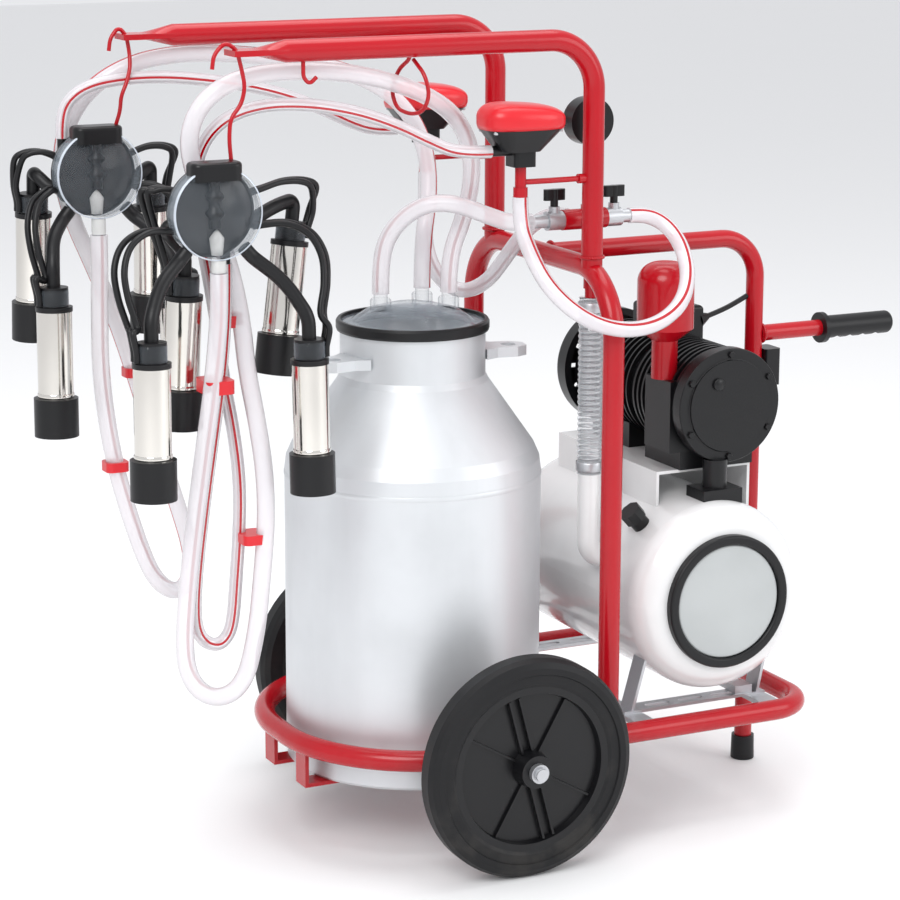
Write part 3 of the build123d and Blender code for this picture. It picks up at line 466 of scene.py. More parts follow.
class Palette:
    """Hands out each finish's material, made once."""

    def __init__(self) -> None:
        """Start with no material made."""
        self.made = {}

    def __call__(self, finish: "str | Finish | Clear | StripedHose") -> bpy.types.Material:
        """Find a finish's material.

        Args:
            finish: The finish, or the slot whose usual finish is wanted.

        Returns:
            The material, made on the first call.
        """
        if isinstance(finish, str):
            finish = FINISHES[finish]
        if finish not in self.made:
            self.made[finish] = finish.build()
        return self.made[finish]

    def dress(self, slot: str, *nodes: str) -> None:
        """Give CAD nodes the material of their slot.

        Args:
            slot: The slot.
            *nodes: The nodes' names.
        """
        for node in nodes:
            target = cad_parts[node]
            target.data.materials.clear()
            target.data.materials.append(self(slot))
            LOG.info("dressed %s in %s", node, slot)


PALETTE = Palette()


# ------------------------------------------------------------------ surfaces
def surface(name: str, grid: np.ndarray, slot: str,
            finish: Finish | Clear | None = None) -> bpy.types.Object:
    """Make a smooth piece from one grid of points P[i, j] that wraps round in j.

    Args:
        name: The piece's name.
        grid: The points, rows by columns by 3.
        slot: The piece's slot.
        finish: Its finish, where it isn't the slot's usual one.

    Returns:
        The piece.
    """
    points, faces = joined([grid])
    return solid(name, points, faces, slot, finish)


def solid(name: str, points: np.ndarray, faces: list, slot: str,
          finish: Finish | Clear | None = None, smooth: bool = True) -> bpy.types.Object:
    """Make a piece that rides on the machine.

    Args:
        name: The piece's name.
        points: Its points, one in each row.
        faces: Each face's point numbers, anticlockwise from outside.
        slot: Its slot.
        finish: Its finish, where it isn't the slot's usual one.
        smooth: Whether its shading runs over the edges.

    Returns:
        The piece.
    """
    mesh = bpy.data.meshes.new(name)
    mesh.from_pydata(np.asarray(points, float).tolist(), [], faces)
    mesh.polygons.foreach_set("use_smooth", [smooth] * len(mesh.polygons))
    mesh.materials.append(PALETTE(finish or slot))
    mesh.validate()
    mesh.update()
    piece = bpy.data.objects.new(name, mesh)
    bpy.context.scene.collection.objects.link(piece)
    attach(piece, MACHINE)
    LOG.info("made %s", name)
    return piece


def square_to(direction: Point | np.ndarray) -> tuple[np.ndarray, np.ndarray]:
    """Find two unit vectors square to a direction d: d x up, or d x X where d is upright.

    Args:
        direction: The direction.

    Returns:
        The two vectors, square to each other too.
    """
    n = np.asarray(direction, float) / np.linalg.norm(direction)
    side = np.cross(n, UP if abs(n[2]) < 0.9 else REARWARD)
    side /= np.linalg.norm(side)
    return side, np.cross(n, side)


def turned(centre: Point | np.ndarray, axis: Point | np.ndarray, profile: Profile | np.ndarray,
           steps: int = 48) -> np.ndarray:
    """P(i, t) = c + h_i a + r_i (cos t u + sin t v) for a profile of (r, h).

    Args:
        centre: The point c.
        axis: The direction a.
        profile: The radius and height of each ring.
        steps: The points in a ring.

    Returns:
        The grid of points.
    """
    n = np.asarray(axis, float) / np.linalg.norm(axis)
    u, v = square_to(n)
    t = np.linspace(0, TAU, steps, endpoint=False)
    r, h = np.asarray(profile, float).T
    ring = np.cos(t)[:, None] * u + np.sin(t)[:, None] * v
    return np.asarray(centre, float) + h[:, None, None] * n + r[:, None, None] * ring


def tube(path: list | np.ndarray, radius: float | list, sides: int = 10) -> np.ndarray:
    """P(s, t) = c(s) + r(s) (cos t n(s) + sin t b(s)), n and b carried along c.

    Args:
        path: The centre line's points c.
        radius: One radius, or one for each point.
        sides: The points in a ring.

    Returns:
        The grid of points.
    """
    path = np.asarray(path, float)
    heading = np.gradient(path, axis=0)
    heading /= np.linalg.norm(heading, axis=1)[:, None]
    carried = [square_to(heading[0])[0]]
    for ahead in heading[1:]:
        side = carried[-1] - ahead * (carried[-1] @ ahead)
        carried.append(side / np.linalg.norm(side))
    n = np.array(carried)
    b = np.cross(heading, n)
    t = np.linspace(0, TAU, sides, endpoint=False)[:, None]
    r = np.broadcast_to(radius, len(path))[:, None, None]
    return path[:, None] + r * (np.cos(t) * n[:, None] + np.sin(t) * b[:, None])


def smooth_line(points: list, per_run: int = 8) -> np.ndarray:
    """Draw a Catmull-Rom curve, in which each run is a cubic through its two ends.

    Args:
        points: The points that it goes through.
        per_run: The steps between two of them.

    Returns:
        The curve's points.
    """
    p = np.asarray(points, float)
    p = np.vstack([2 * p[0] - p[1], p, 2 * p[-1] - p[-2]])
    t = np.linspace(0, 1, per_run, endpoint=False)[:, None]
    runs = [0.5 * (2 * b + (c - a) * t + (2 * a - 5 * b + 4 * c - d) * t ** 2
                   + (3 * b - a - 3 * c + d) * t ** 3)
            for a, b, c, d in zip(p, p[1:], p[2:], p[3:])]
    return np.vstack([*runs, p[-2:-1]])


def joined(grids: list[np.ndarray]) -> tuple[np.ndarray, list]:
    """Join grids of points P[i, j], each wrapped round in j, into one mesh.

    Args:
        grids: The grids.

    Returns:
        The points, one in each row, and the faces' point numbers.
    """
    points, faces, start = [], [], 0
    for grid in grids:
        rows, cols = grid.shape[:2]
        i, j = np.meshgrid(np.arange(rows - 1), np.arange(cols), indexing="ij")
        k = (j + 1) % cols
        quads = np.stack([i * cols + j, (i + 1) * cols + j, (i + 1) * cols + k, i * cols + k], -1)
        points.append(grid.reshape(-1, 3))
        faces += (quads.reshape(-1, 4) + start).tolist()
        start += rows * cols
    return np.vstack(points), faces


def hex_heads(places: list[Point], axis: Point, across: float,
              height: float) -> tuple[np.ndarray, list]:
    """Turn a six-sided head with a chamfered top at each place.

    Args:
        places: The middles of the heads' seats.
        axis: The way the heads point.
        across: The size across the corners' tangent circle, from flat to flat.
        height: The heads' height.

    Returns:
        The points and the faces.
    """
    r = across / math.sqrt(3)
    profile = [(0, height), (r * 0.86, height), (r, height * 0.75), (r, 0)]
    return joined([turned(place, axis, profile, 6) for place in places])


# --------------------------------------------------------------------- hoses
NEAR_MILK = (
    (-0.46, -0.15, 0.766), (-0.46, -0.15, 0.722), (-0.468, -0.156, 0.664), (-0.479, -0.16, 0.6),
    (-0.49, -0.16, 0.532), (-0.5, -0.158, 0.46), (-0.508, -0.156, 0.392), (-0.513, -0.154, 0.326),
    (-0.51, -0.152, 0.29), (-0.497, -0.151, 0.263), (-0.475, -0.15, 0.248), (-0.45, -0.15, 0.25),
    (-0.432, -0.15, 0.27), (-0.423, -0.15, 0.302), (-0.415, -0.15, 0.344), (-0.409, -0.15, 0.4),
    (-0.403, -0.149, 0.46), (-0.403, -0.146, 0.52), (-0.409, -0.137, 0.584),
    (-0.416, -0.124, 0.644), (-0.416, -0.11, 0.704), (-0.424, -0.096, 0.764),
    (-0.442, -0.089, 0.82), (-0.464, -0.088, 0.872), (-0.474, -0.091, 0.918),
    (-0.46, -0.096, 0.958), (-0.424, -0.101, 0.984), (-0.378, -0.105, 0.993),
    (-0.325, -0.107, 0.994), (-0.268, -0.107, 0.988), (-0.212, -0.104, 0.975),
    (-0.158, -0.095, 0.954), (-0.114, -0.078, 0.926), (-0.084, -0.059, 0.886),
    (-0.074, -0.043, 0.838), (-0.08, -0.03, 0.79), (-0.096, -0.022, 0.742),
    (-0.096, -0.022, 0.698))
NEAR_PULSE = (
    (-0.44, -0.121, 0.772), (-0.44, -0.121, 0.734), (-0.447, -0.129, 0.676),
    (-0.457, -0.134, 0.612), (-0.468, -0.134, 0.544), (-0.478, -0.132, 0.472),
    (-0.486, -0.13, 0.406), (-0.489, -0.128, 0.358), (-0.487, -0.128, 0.33),
    (-0.476, -0.127, 0.312), (-0.458, -0.127, 0.306), (-0.444, -0.127, 0.318),
    (-0.438, -0.127, 0.342), (-0.435, -0.128, 0.384), (-0.43, -0.128, 0.44),
    (-0.427, -0.126, 0.504), (-0.431, -0.118, 0.568), (-0.438, -0.104, 0.63),
    (-0.439, -0.09, 0.69), (-0.443, -0.075, 0.75), (-0.451, -0.066, 0.808),
    (-0.457, -0.066, 0.862), (-0.45, -0.074, 0.908), (-0.426, -0.088, 0.94),
    (-0.384, -0.102, 0.955), (-0.33, -0.115, 0.955), (-0.274, -0.124, 0.945),
    (-0.222, -0.129, 0.927), (-0.176, -0.132, 0.904), (-0.138, -0.133, 0.888),
    (-0.095, -0.133, 0.888))
FAR_MILK = (
    (-0.51, 0.123, 0.777), (-0.51, 0.123, 0.734), (-0.514, 0.117, 0.674), (-0.516, 0.112, 0.608),
    (-0.51, 0.11, 0.54), (-0.498, 0.11, 0.474), (-0.481, 0.112, 0.414), (-0.463, 0.116, 0.362),
    (-0.448, 0.119, 0.33), (-0.427, 0.124, 0.308), (-0.404, 0.132, 0.304), (-0.388, 0.141, 0.322),
    (-0.385, 0.15, 0.354), (-0.398, 0.16, 0.41), (-0.419, 0.167, 0.482), (-0.438, 0.17, 0.546),
    (-0.456, 0.173, 0.61), (-0.476, 0.177, 0.672), (-0.5, 0.18, 0.732), (-0.524, 0.181, 0.788),
    (-0.538, 0.18, 0.842), (-0.536, 0.177, 0.892), (-0.519, 0.171, 0.934), (-0.488, 0.163, 0.966),
    (-0.444, 0.155, 0.987), (-0.392, 0.15, 0.995), (-0.334, 0.148, 0.994), (-0.276, 0.145, 0.988),
    (-0.22, 0.138, 0.979), (-0.168, 0.123, 0.966), (-0.126, 0.1, 0.944), (-0.098, 0.076, 0.908),
    (-0.088, 0.056, 0.862), (-0.094, 0.038, 0.812), (-0.113, 0.02, 0.752), (-0.113, 0.02, 0.698))
FAR_PULSE = (
    (-0.545, 0.152, 0.896), (-0.545, 0.152, 0.922), (-0.535, 0.15, 0.945), (-0.509, 0.143, 0.962),
    (-0.462, 0.134, 0.969), (-0.414, 0.128, 0.969), (-0.36, 0.125, 0.963), (-0.302, 0.125, 0.953),
    (-0.248, 0.127, 0.938), (-0.198, 0.13, 0.917), (-0.158, 0.132, 0.898), (-0.126, 0.133, 0.888),
    (-0.095, 0.133, 0.888))
LID_ARCH = (
    (-0.013, -0.088, 0.79), (-0.042, -0.088, 0.79), (-0.074, -0.08, 0.802),
    (-0.106, -0.064, 0.816), (-0.136, -0.044, 0.816), (-0.16, -0.024, 0.798),
    (-0.176, -0.008, 0.77), (-0.181, 0, 0.736), (-0.181, 0, 0.698))
NEAR_SUPPLY = (
    (0.127, -0.088, 0.79), (0.147, -0.088, 0.79), (0.166, -0.095, 0.784), (0.179, -0.11, 0.77),
    (0.183, -0.132, 0.748), (0.174, -0.161, 0.719), (0.149, -0.189, 0.692),
    (0.108, -0.209, 0.673), (0.06, -0.221, 0.668), (0.014, -0.222, 0.677),
    (-0.022, -0.212, 0.698), (-0.045, -0.188, 0.728), (-0.053, -0.16, 0.764),
    (-0.053, -0.133, 0.796), (-0.053, -0.133, 0.83))
FAR_SUPPLY = (
    (-0.053, 0.133, 0.83), (-0.053, 0.133, 0.796), (-0.057, 0.129, 0.756), (-0.056, 0.118, 0.716),
    (-0.043, 0.102, 0.686), (-0.02, 0.084, 0.674), (0.002, 0.062, 0.69), (0.014, 0.04, 0.72),
    (0.023, 0.014, 0.753), (0.036, -0.008, 0.777), (0.052, -0.032, 0.79), (0.052, -0.062, 0.79))
MOTOR_CABLE = (
    (0.303, 0, 0.632), (0.322, 0, 0.6373), (0.343, 0, 0.645), (0.364, 0, 0.655))


@dataclass(frozen=True)
class Hose:
    """One free hose that stands for its CAD node.

    Attributes:
        node: The CAD node's name.
        route: The centre line's points.
        radius: The hose's radius.
        kind: What it carries.
    """

    node: str
    route: tuple[Point, ...]
    radius: float
    kind: HoseKind

    def build(self) -> bpy.types.Object:
        """Lay the route's points as the control points of one curve.

        Returns:
            The hose.
        """
        curve = bpy.data.curves.new(self.node + "_line", "CURVE")
        curve.dimensions = "3D"
        curve.resolution_u = 10
        curve.bevel_depth = self.radius
        curve.bevel_resolution = 6
        curve.use_fill_caps = True
        spline = curve.splines.new("NURBS")
        spline.points.add(len(self.route) - 1)
        for point, place in zip(spline.points, self.route):
            point.co = (*place, 1.0)
        spline.order_u = 3
        spline.use_endpoint_u = True
        finish = HOSE_LOOKS[self.kind]
        curve.materials.append(PALETTE(finish))
        piece = bpy.data.objects.new(self.node + "_run", curve)
        bpy.context.scene.collection.objects.link(piece)
        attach(piece, MACHINE)
        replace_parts(piece, self.node)
        return piece


HOSES = (
    Hose("near_milk_hose", NEAR_MILK, 0.011, HoseKind.MILK),
    Hose("near_pulse_hose", NEAR_PULSE, 0.008, HoseKind.PULSE),
    Hose("far_milk_hose", FAR_MILK, 0.011, HoseKind.MILK),
    Hose("far_pulse_hose", FAR_PULSE, 0.008, HoseKind.PULSE),
    Hose("lid_vacuum_hose", LID_ARCH, 0.011, HoseKind.MILK),
    Hose("near_supply_hose", NEAR_SUPPLY, 0.010, HoseKind.VACUUM),
    Hose("far_supply_hose", FAR_SUPPLY, 0.010, HoseKind.VACUUM),
    Hose("motor_cable", MOTOR_CABLE, 0.0035, HoseKind.CABLE),
)


# ------------------------------------------------------------ sub-assemblies
@dataclass
class WeldedFrame:
    """The red tube frame, its foot and grip, with a bead at each weld.

    Attributes:
        post_x: Where the two posts stand.
        post_feet: The posts' half distance apart and height where they meet the ring.
        post_heads: The same where they meet the cross bar.
        post_bead: The radius of the beads round the posts.
        bar_welds: The middle and bead radius of each weld of a lengthways bar.
        bead_radius: The radius of the weld metal.
        ripple: How far the weld metal wavers.
    """

    post_x: float = 0.049
    post_feet: tuple[float, float] = (0.192, 0.1525)
    post_heads: tuple[float, float] = (0.133, 0.7485)
    post_bead: float = 0.0142
    bar_welds: tuple = (((0.0625, 0.0, 0.735), 0.0128), ((0.388, 0.0, 0.602), 0.0118))
    bead_radius: float = 0.0021
    ripple: float = 0.0004

    def build(self) -> None:
        """Dress the frame and lay the weld beads."""
        PALETTE.dress("red_paint", "base_front_ring", "base_rear_bow", "front_hoop",
                      "arm_near", "arm_far", "rear_frame", "can_straps", "wire_hooks")
        PALETTE.dress("rubber", "rear_foot", "handle_grip")
        PALETTE.dress("zinc_steel", "tank_supports")
        beads = [self.bead((self.post_x, side * y, z), UP, self.post_bead)
                 for y, z in (self.post_feet, self.post_heads) for _, side in SIDES]
        beads += [self.bead(place, REARWARD, radius) for place, radius in self.bar_welds]
        solid("weld_beads", *joined(beads), "red_paint")

    def bead(self, centre: Point, axis: Point, radius: float) -> np.ndarray:
        """P(t) = c + (r + w sin 31 t) (cos t u + sin t v), as a tube's centre line.

        Args:
            centre: The weld's middle c.
            axis: The direction of the bar that it goes round.
            radius: The weld's radius r.

        Returns:
            The bead's grid of points.
        """
        t = np.linspace(0, TAU, 97)[:, None]
        u, v = square_to(axis)
        wavering = radius + self.ripple * np.sin(31 * t)
        ring = np.asarray(centre) + wavering * (np.cos(t) * u + np.sin(t) * v)
        return tube(ring, self.bead_radius, 8)


@dataclass
class Wheels:
    """Both wheels, and the domed cap on each axle's end.

    Attributes:
        axle: The axle's place in X and Z.
        cap: The cap's radius and distance from the middle plane.
    """

    axle: tuple[float, float] = (-0.105, 0.141)
    cap: Profile = ((0.0, 0.3036), (0.004, 0.3036), (0.0078, 0.3022), (0.0084, 0.3005))

    def build(self) -> None:
        """Dress the wheels and set the caps."""
        PALETTE.dress("tyre", "tyre_near", "tyre_far")
        PALETTE.dress("black_plastic", "rim_near", "rim_far")
        PALETTE.dress("zinc_steel", "stub_axles")
        x, z = self.axle
        for name, side in SIDES:
            cap = turned((x, 0, z), (0, side, 0), self.cap, 32)
            surface(f"axle_crown_{name}", cap, "zinc_steel")


@dataclass
class MilkCan:
    """The aluminium can with its clear lid.

    Attributes:
        centre: The can's axis in X and Y.
        shoulder_bead: The radius and height of the bead where the shoulder starts.
        nipples: The places of the lid's three nipples.
        collar: The radius and height of the collar on each nipple.
    """

    centre: tuple[float, float] = (-0.136, 0.0)
    shoulder_bead: Profile = ((0.1652, 0.462), (0.1658, 0.4635), (0.1658, 0.4665), (0.1652, 0.468))
    nipples: tuple = ((-0.181, 0.0), (-0.113, 0.020), (-0.096, -0.022))
    collar: Profile = ((0.0115, 0.676), (0.0135, 0.677), (0.0135, 0.690), (0.0118, 0.692))

    def build(self) -> None:
        """Dress the can and add its bead and the nipples' collars."""
        PALETTE.dress("cast_aluminium", "can_body")
        PALETTE.dress("clear_plastic", "can_lid")
        PALETTE.dress("rubber", "lid_gasket")
        bead = turned((*self.centre, 0), UP, self.shoulder_bead, 128)
        surface("can_shoulder_bead", bead, "cast_aluminium")
        collars = [turned((x, y, 0), UP, self.collar, 32) for x, y in self.nipples]
        solid("lid_collars", *joined(collars), "clear_plastic")


@dataclass
class VacuumTank:
    """The white tank with its ringed end cover and plug."""

    def build(self) -> None:
        """Dress the tank."""
        PALETTE.dress("white_enamel", "vacuum_tank", "pump_bracket")
        PALETTE.dress("grey_cover", "tank_cover")
        PALETTE.dress("rubber", "tank_seal_ring")
        PALETTE.dress("black_plastic", "tank_plug")


@dataclass
class PumpSet:
    """The vacuum pump, its motor, oil separator and switch.

    Attributes:
        shaft: The shaft's place in X and Z.
        cover_face: The outer face of the pump cover, in Y.
        bolt_circle: The radius that the cover's bolts stand on.
        bolts: How many bolts there are.
        bolt_head: A bolt head's size across the flats and height.
        plug_seat: The oil plug's seat, from the shaft in X and Z and in Y itself.
        plug: The oil plug's radius and height.
    """

    shaft: tuple[float, float] = (0.247, 0.543)
    cover_face: float = -0.1498
    bolt_circle: float = 0.067
    bolts: int = 6
    bolt_head: tuple[float, float] = (0.008, 0.004)
    plug_seat: Point = (-0.02, -0.1528, 0.03)
    plug: Profile = ((0.0, 0.0040), (0.007, 0.0040), (0.008, 0.003), (0.008, 0.0))

    def build(self) -> None:
        """Dress the pump set and add the cover's bolts and oil plug."""
        PALETTE.dress("black_castings", "pump_housing", "pump_cover", "motor_housing")
        PALETTE.dress("motor_steel", "motor_stator", "rotor_shaft", "pump_rotor")
        PALETTE.dress("black_plastic", "fan_cover", "motor_fan", "terminal_box", "switch_box")
        PALETTE.dress("red_paint", "oil_separator")
        PALETTE.dress("switch_red", "switch_rocker")
        x, z = self.shaft
        turns = [TAU * (i + 0.5) / self.bolts for i in range(self.bolts)]
        places = [(x + self.bolt_circle * math.cos(a), self.cover_face,
                   z + self.bolt_circle * math.sin(a)) for a in turns]
        points, faces = hex_heads(places, NEARWARD, *self.bolt_head)
        solid("pump_cover_bolts", points, faces, "black_castings", smooth=False)
        across, seat, up = self.plug_seat
        plug = turned((x + across, seat, z + up), NEARWARD, self.plug, 24)
        surface("oil_filler_plug", plug, "black_castings")


@dataclass
class Piping:
    """The manifold with its two taps, the gauge and the steel-sprung hose.

    Attributes:
        riser: The sprung hose's axis in X and Y.
        run: The heights of the sprung hose's two ends.
        pitch: The rise of one turn of its wire.
        wall: Its wall's mean radius and how far it waves.
        wire: The radii of the wire's helix and of the wire.
        cuff: A cuff's radius and height above its foot.
        gauge: The middle of the gauge's face.
        dial_radius: The radius of the dial and of its glass.
        ticks: How many ticks the dial has.
        tick_span: The inner radii of a long and a short tick, and the outer radius.
        tick_half_width: Half a tick's width.
    """

    riser: tuple[float, float] = (0.075, -0.088)
    run: tuple[float, float] = (0.458, 0.688)
    pitch: float = 0.0072
    wall: tuple[float, float] = (0.0159, 0.0007)
    wire: tuple[float, float] = (0.0145, 0.0013)
    cuff: Profile = ((0.0172, 0.0), (0.0178, 0.001), (0.0178, 0.011), (0.0172, 0.012))
    gauge: Point = (0.064, -0.092, 0.914)
    dial_radius: float = 0.0268
    ticks: int = 28
    tick_span: tuple[float, float, float] = (0.0195, 0.0220, 0.0245)
    tick_half_width: float = 0.0004

    def build(self) -> None:
        """Dress the piping and add the hose's wall and wire and the gauge's face."""
        PALETTE.dress("red_paint", "vacuum_manifold")
        PALETTE.dress("zinc_steel", "tap_bodies")
        PALETTE.dress("black_plastic", "tap_knob_left", "tap_knob_right", "gauge_case")
        PALETTE.dress("needle", "gauge_needle")
        self.sprung_hose()
        self.gauge_face()

    def sprung_hose(self) -> None:
        """Wall r(z) = r0 + w cos(2 pi z / pitch), with the wire's helix inside it."""
        foot = (*self.riser, 0)
        low, high = self.run
        radius, wave = self.wall
        z = np.linspace(low, high, 420)
        wall = radius + wave * np.cos(TAU * (z - low) / self.pitch)
        piece = surface("suction_hose_wall", turned(foot, UP, np.column_stack([wall, z]), 40),
                        "clear_hose", SPRUNG_WALL)
        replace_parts(piece, "suction_hose")
        helix, thickness = self.wire
        turns = np.linspace(0, TAU * (high - low - 0.004) / self.pitch, 1150)
        coil = np.column_stack([self.riser[0] + helix * np.cos(turns),
                                self.riser[1] + helix * np.sin(turns),
                                low + 0.002 + self.pitch * turns / TAU])
        surface("suction_hose_wire", tube(coil, thickness, 6), "zinc_steel")
        cuffs = [turned((*self.riser, start), UP, self.cuff, 40)
                 for start in (low + 0.004, high - 0.018)]
        solid("suction_hose_clamps", *joined(cuffs), "zinc_steel")

    def gauge_face(self) -> None:
        """A flat dial, ticks as flat strips from r0 to r1, and a cap of a sphere as glass."""
        x, y, z = self.gauge
        dial = turned((x, y - 0.0018, z), FARWARD, ((0.0, 0.0), (self.dial_radius, 0.0)), 48)
        surface("gauge_dial", dial, "white_enamel")
        points, faces = self.tick_strips()
        solid("gauge_ticks", points, faces, "black_plastic", smooth=False)
        angle = np.linspace(0, 0.9, 8)
        glass = np.column_stack([self.dial_radius * np.sin(angle) / math.sin(0.9),
                                 0.0072 + 0.006 * (np.cos(angle) - math.cos(0.9))])
        surface("gauge_glass", turned(self.gauge, FARWARD, glass, 48), "clear_plastic")

    def tick_strips(self) -> tuple[np.ndarray, list]:
        """P = g + r (cos a, sin a) + w (-sin a, cos a) in the dial's plane, every third long.

        Returns:
            The points and the faces.
        """
        long, short, outer = self.tick_span
        count = np.arange(self.ticks)
        a = np.radians(-45 + 10 * count)[:, None]
        inner = np.where(count % 3 == 0, long, short)
        r = np.column_stack([inner, inner, np.full_like(inner, outer), np.full_like(inner, outer)])
        w = self.tick_half_width * np.array([-1, 1, 1, -1])
        x, y, z = self.gauge
        across, up = r * np.cos(a) - w * np.sin(a), r * np.sin(a) + w * np.cos(a)
        points = np.stack([x + across, np.full_like(r, y - 0.0014), z + up], -1)
        return points.reshape(-1, 3), (4 * count[:, None] + [3, 2, 1, 0]).tolist()


@dataclass
class Pulsators:
    """Two pulsators on the posts.

    Attributes:
        x: Where they stand along the machine.
        y: How far each is from the middle plane.
        seam: The height where cap meets body.
        screws: A screw's distance from the pulsator's middle, in X and Y.
        screw_head: A screw head's size across the flats and height.
        half_size: Half of the cap's length and width.
        skirt: The height of the cap's upright edge.
        crown: The height of its rounded top.
        fall: How steeply its top leans back.
    """

    x: float = -0.053
    y: float = 0.133
    seam: float = 0.915
    screws: tuple[float, float] = (0.044, 0.020)
    screw_head: tuple[float, float] = (0.006, 0.004)
    half_size: tuple[float, float] = (0.0545, 0.0365)
    skirt: float = 0.012
    crown: float = 0.0225
    fall: float = 0.36

    def build(self) -> None:
        """Dress the pulsators and add the screws and the smooth caps."""
        PALETTE.dress("black_plastic", "pulsator_bodies")
        PALETTE.dress("red_paint", "pulsator_brackets")
        along, across = self.screws
        places = [(self.x + dx, side * self.y + dy, self.seam - 0.0005) for _, side in SIDES
                  for dx in (-along, along) for dy in (-across, across)]
        points, faces = hex_heads(places, (0, 0, -1), *self.screw_head)
        solid("pulsator_screws", points, faces, "zinc_steel", smooth=False)
        points, faces = joined([self.dome(side) for _, side in SIDES])
        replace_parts(solid("pulsator_domes", points, faces, "red_plastic"), "pulsator_caps")

    def dome(self, side: int) -> np.ndarray:
        """|p/a|^3 + |q/b|^3 = k^3 rings whose k shrinks on a quarter ellipse, leaning back.

        Args:
            side: -1 for the near pulsator, 1 for the far one.

        Returns:
            The cap's grid of points.
        """
        t = np.linspace(0, TAU, 64, endpoint=False)
        ring = np.array([np.cos(t), np.sin(t)]) / (np.abs(np.cos(t)) ** 3
                                                   + np.abs(np.sin(t)) ** 3) ** (1 / 3)
        bend = np.linspace(0, math.pi / 2, 14)
        top = self.skirt + 0.001 + self.crown * np.sin(bend)
        rise = np.concatenate([[0.0, 0.0, self.skirt / 2, self.skirt], top])[:, None]
        shrink = np.maximum(0.0, np.cos(bend)) ** 0.55
        size = np.concatenate([[0.0, 0.97, 1.0, 1.0], shrink])[:, None]
        half_length, half_width = self.half_size
        p, q = half_length * size * ring[0], half_width * size * ring[1]
        lift = self.fall * np.maximum(0.0, rise - self.skirt)
        return np.stack([self.x + p - 0.2 * lift, side * self.y + q,
                         self.seam + rise - lift * (0.5 + p / (2 * half_length))], -1)


@dataclass(frozen=True)
class Cup:
    """One teat cup.

    Attributes:
        foot: The middle of its rubber foot.
        lean: How far its top leans over, in X and Y.
        swing: How far its pulse tubes swing out, as a share of the usual.
    """

    foot: Point
    lean: tuple[float, float]
    swing: float

    @property
    def axis(self) -> Point:
        """The way from its foot to its top."""
        return (*self.lean, CUP_LENGTH)


@dataclass(frozen=True)
class Claw:
    """One claw and its cups, the two front ones first.

    Attributes:
        name: Which side it hangs on.
        centre: The middle of its bowl.
        spout: The end of its milk hose.
        cups: Its four cups.
    """

    name: str
    centre: Point
    spout: Point
    cups: tuple[Cup, ...]


CUP_LENGTH = 0.186
CLAWS = (
    Claw("near", (-0.462, -0.140, 0.837), NEAR_MILK[0], (
        Cup((-0.560, -0.187, 0.512), (0.002, 0.004), 0.97),
        Cup((-0.358, -0.187, 0.500), (-0.002, 0.004), 1.03),
        Cup((-0.486, -0.084, 0.571), (0.006, -0.006), 0.45),
        Cup((-0.364, -0.092, 0.628), (0.026, 0.008), 1.0))),
    Claw("far", (-0.509, 0.133, 0.853), FAR_MILK[0], (
        Cup((-0.584, 0.086, 0.536), (0.002, 0.004), 0.71),
        Cup((-0.420, 0.086, 0.530), (-0.002, 0.004), 0.82),
        Cup((-0.576, 0.190, 0.640), (0.002, -0.008), 0.57),
        Cup((-0.420, 0.184, 0.640), (0.0, -0.006), 0.8))),
)


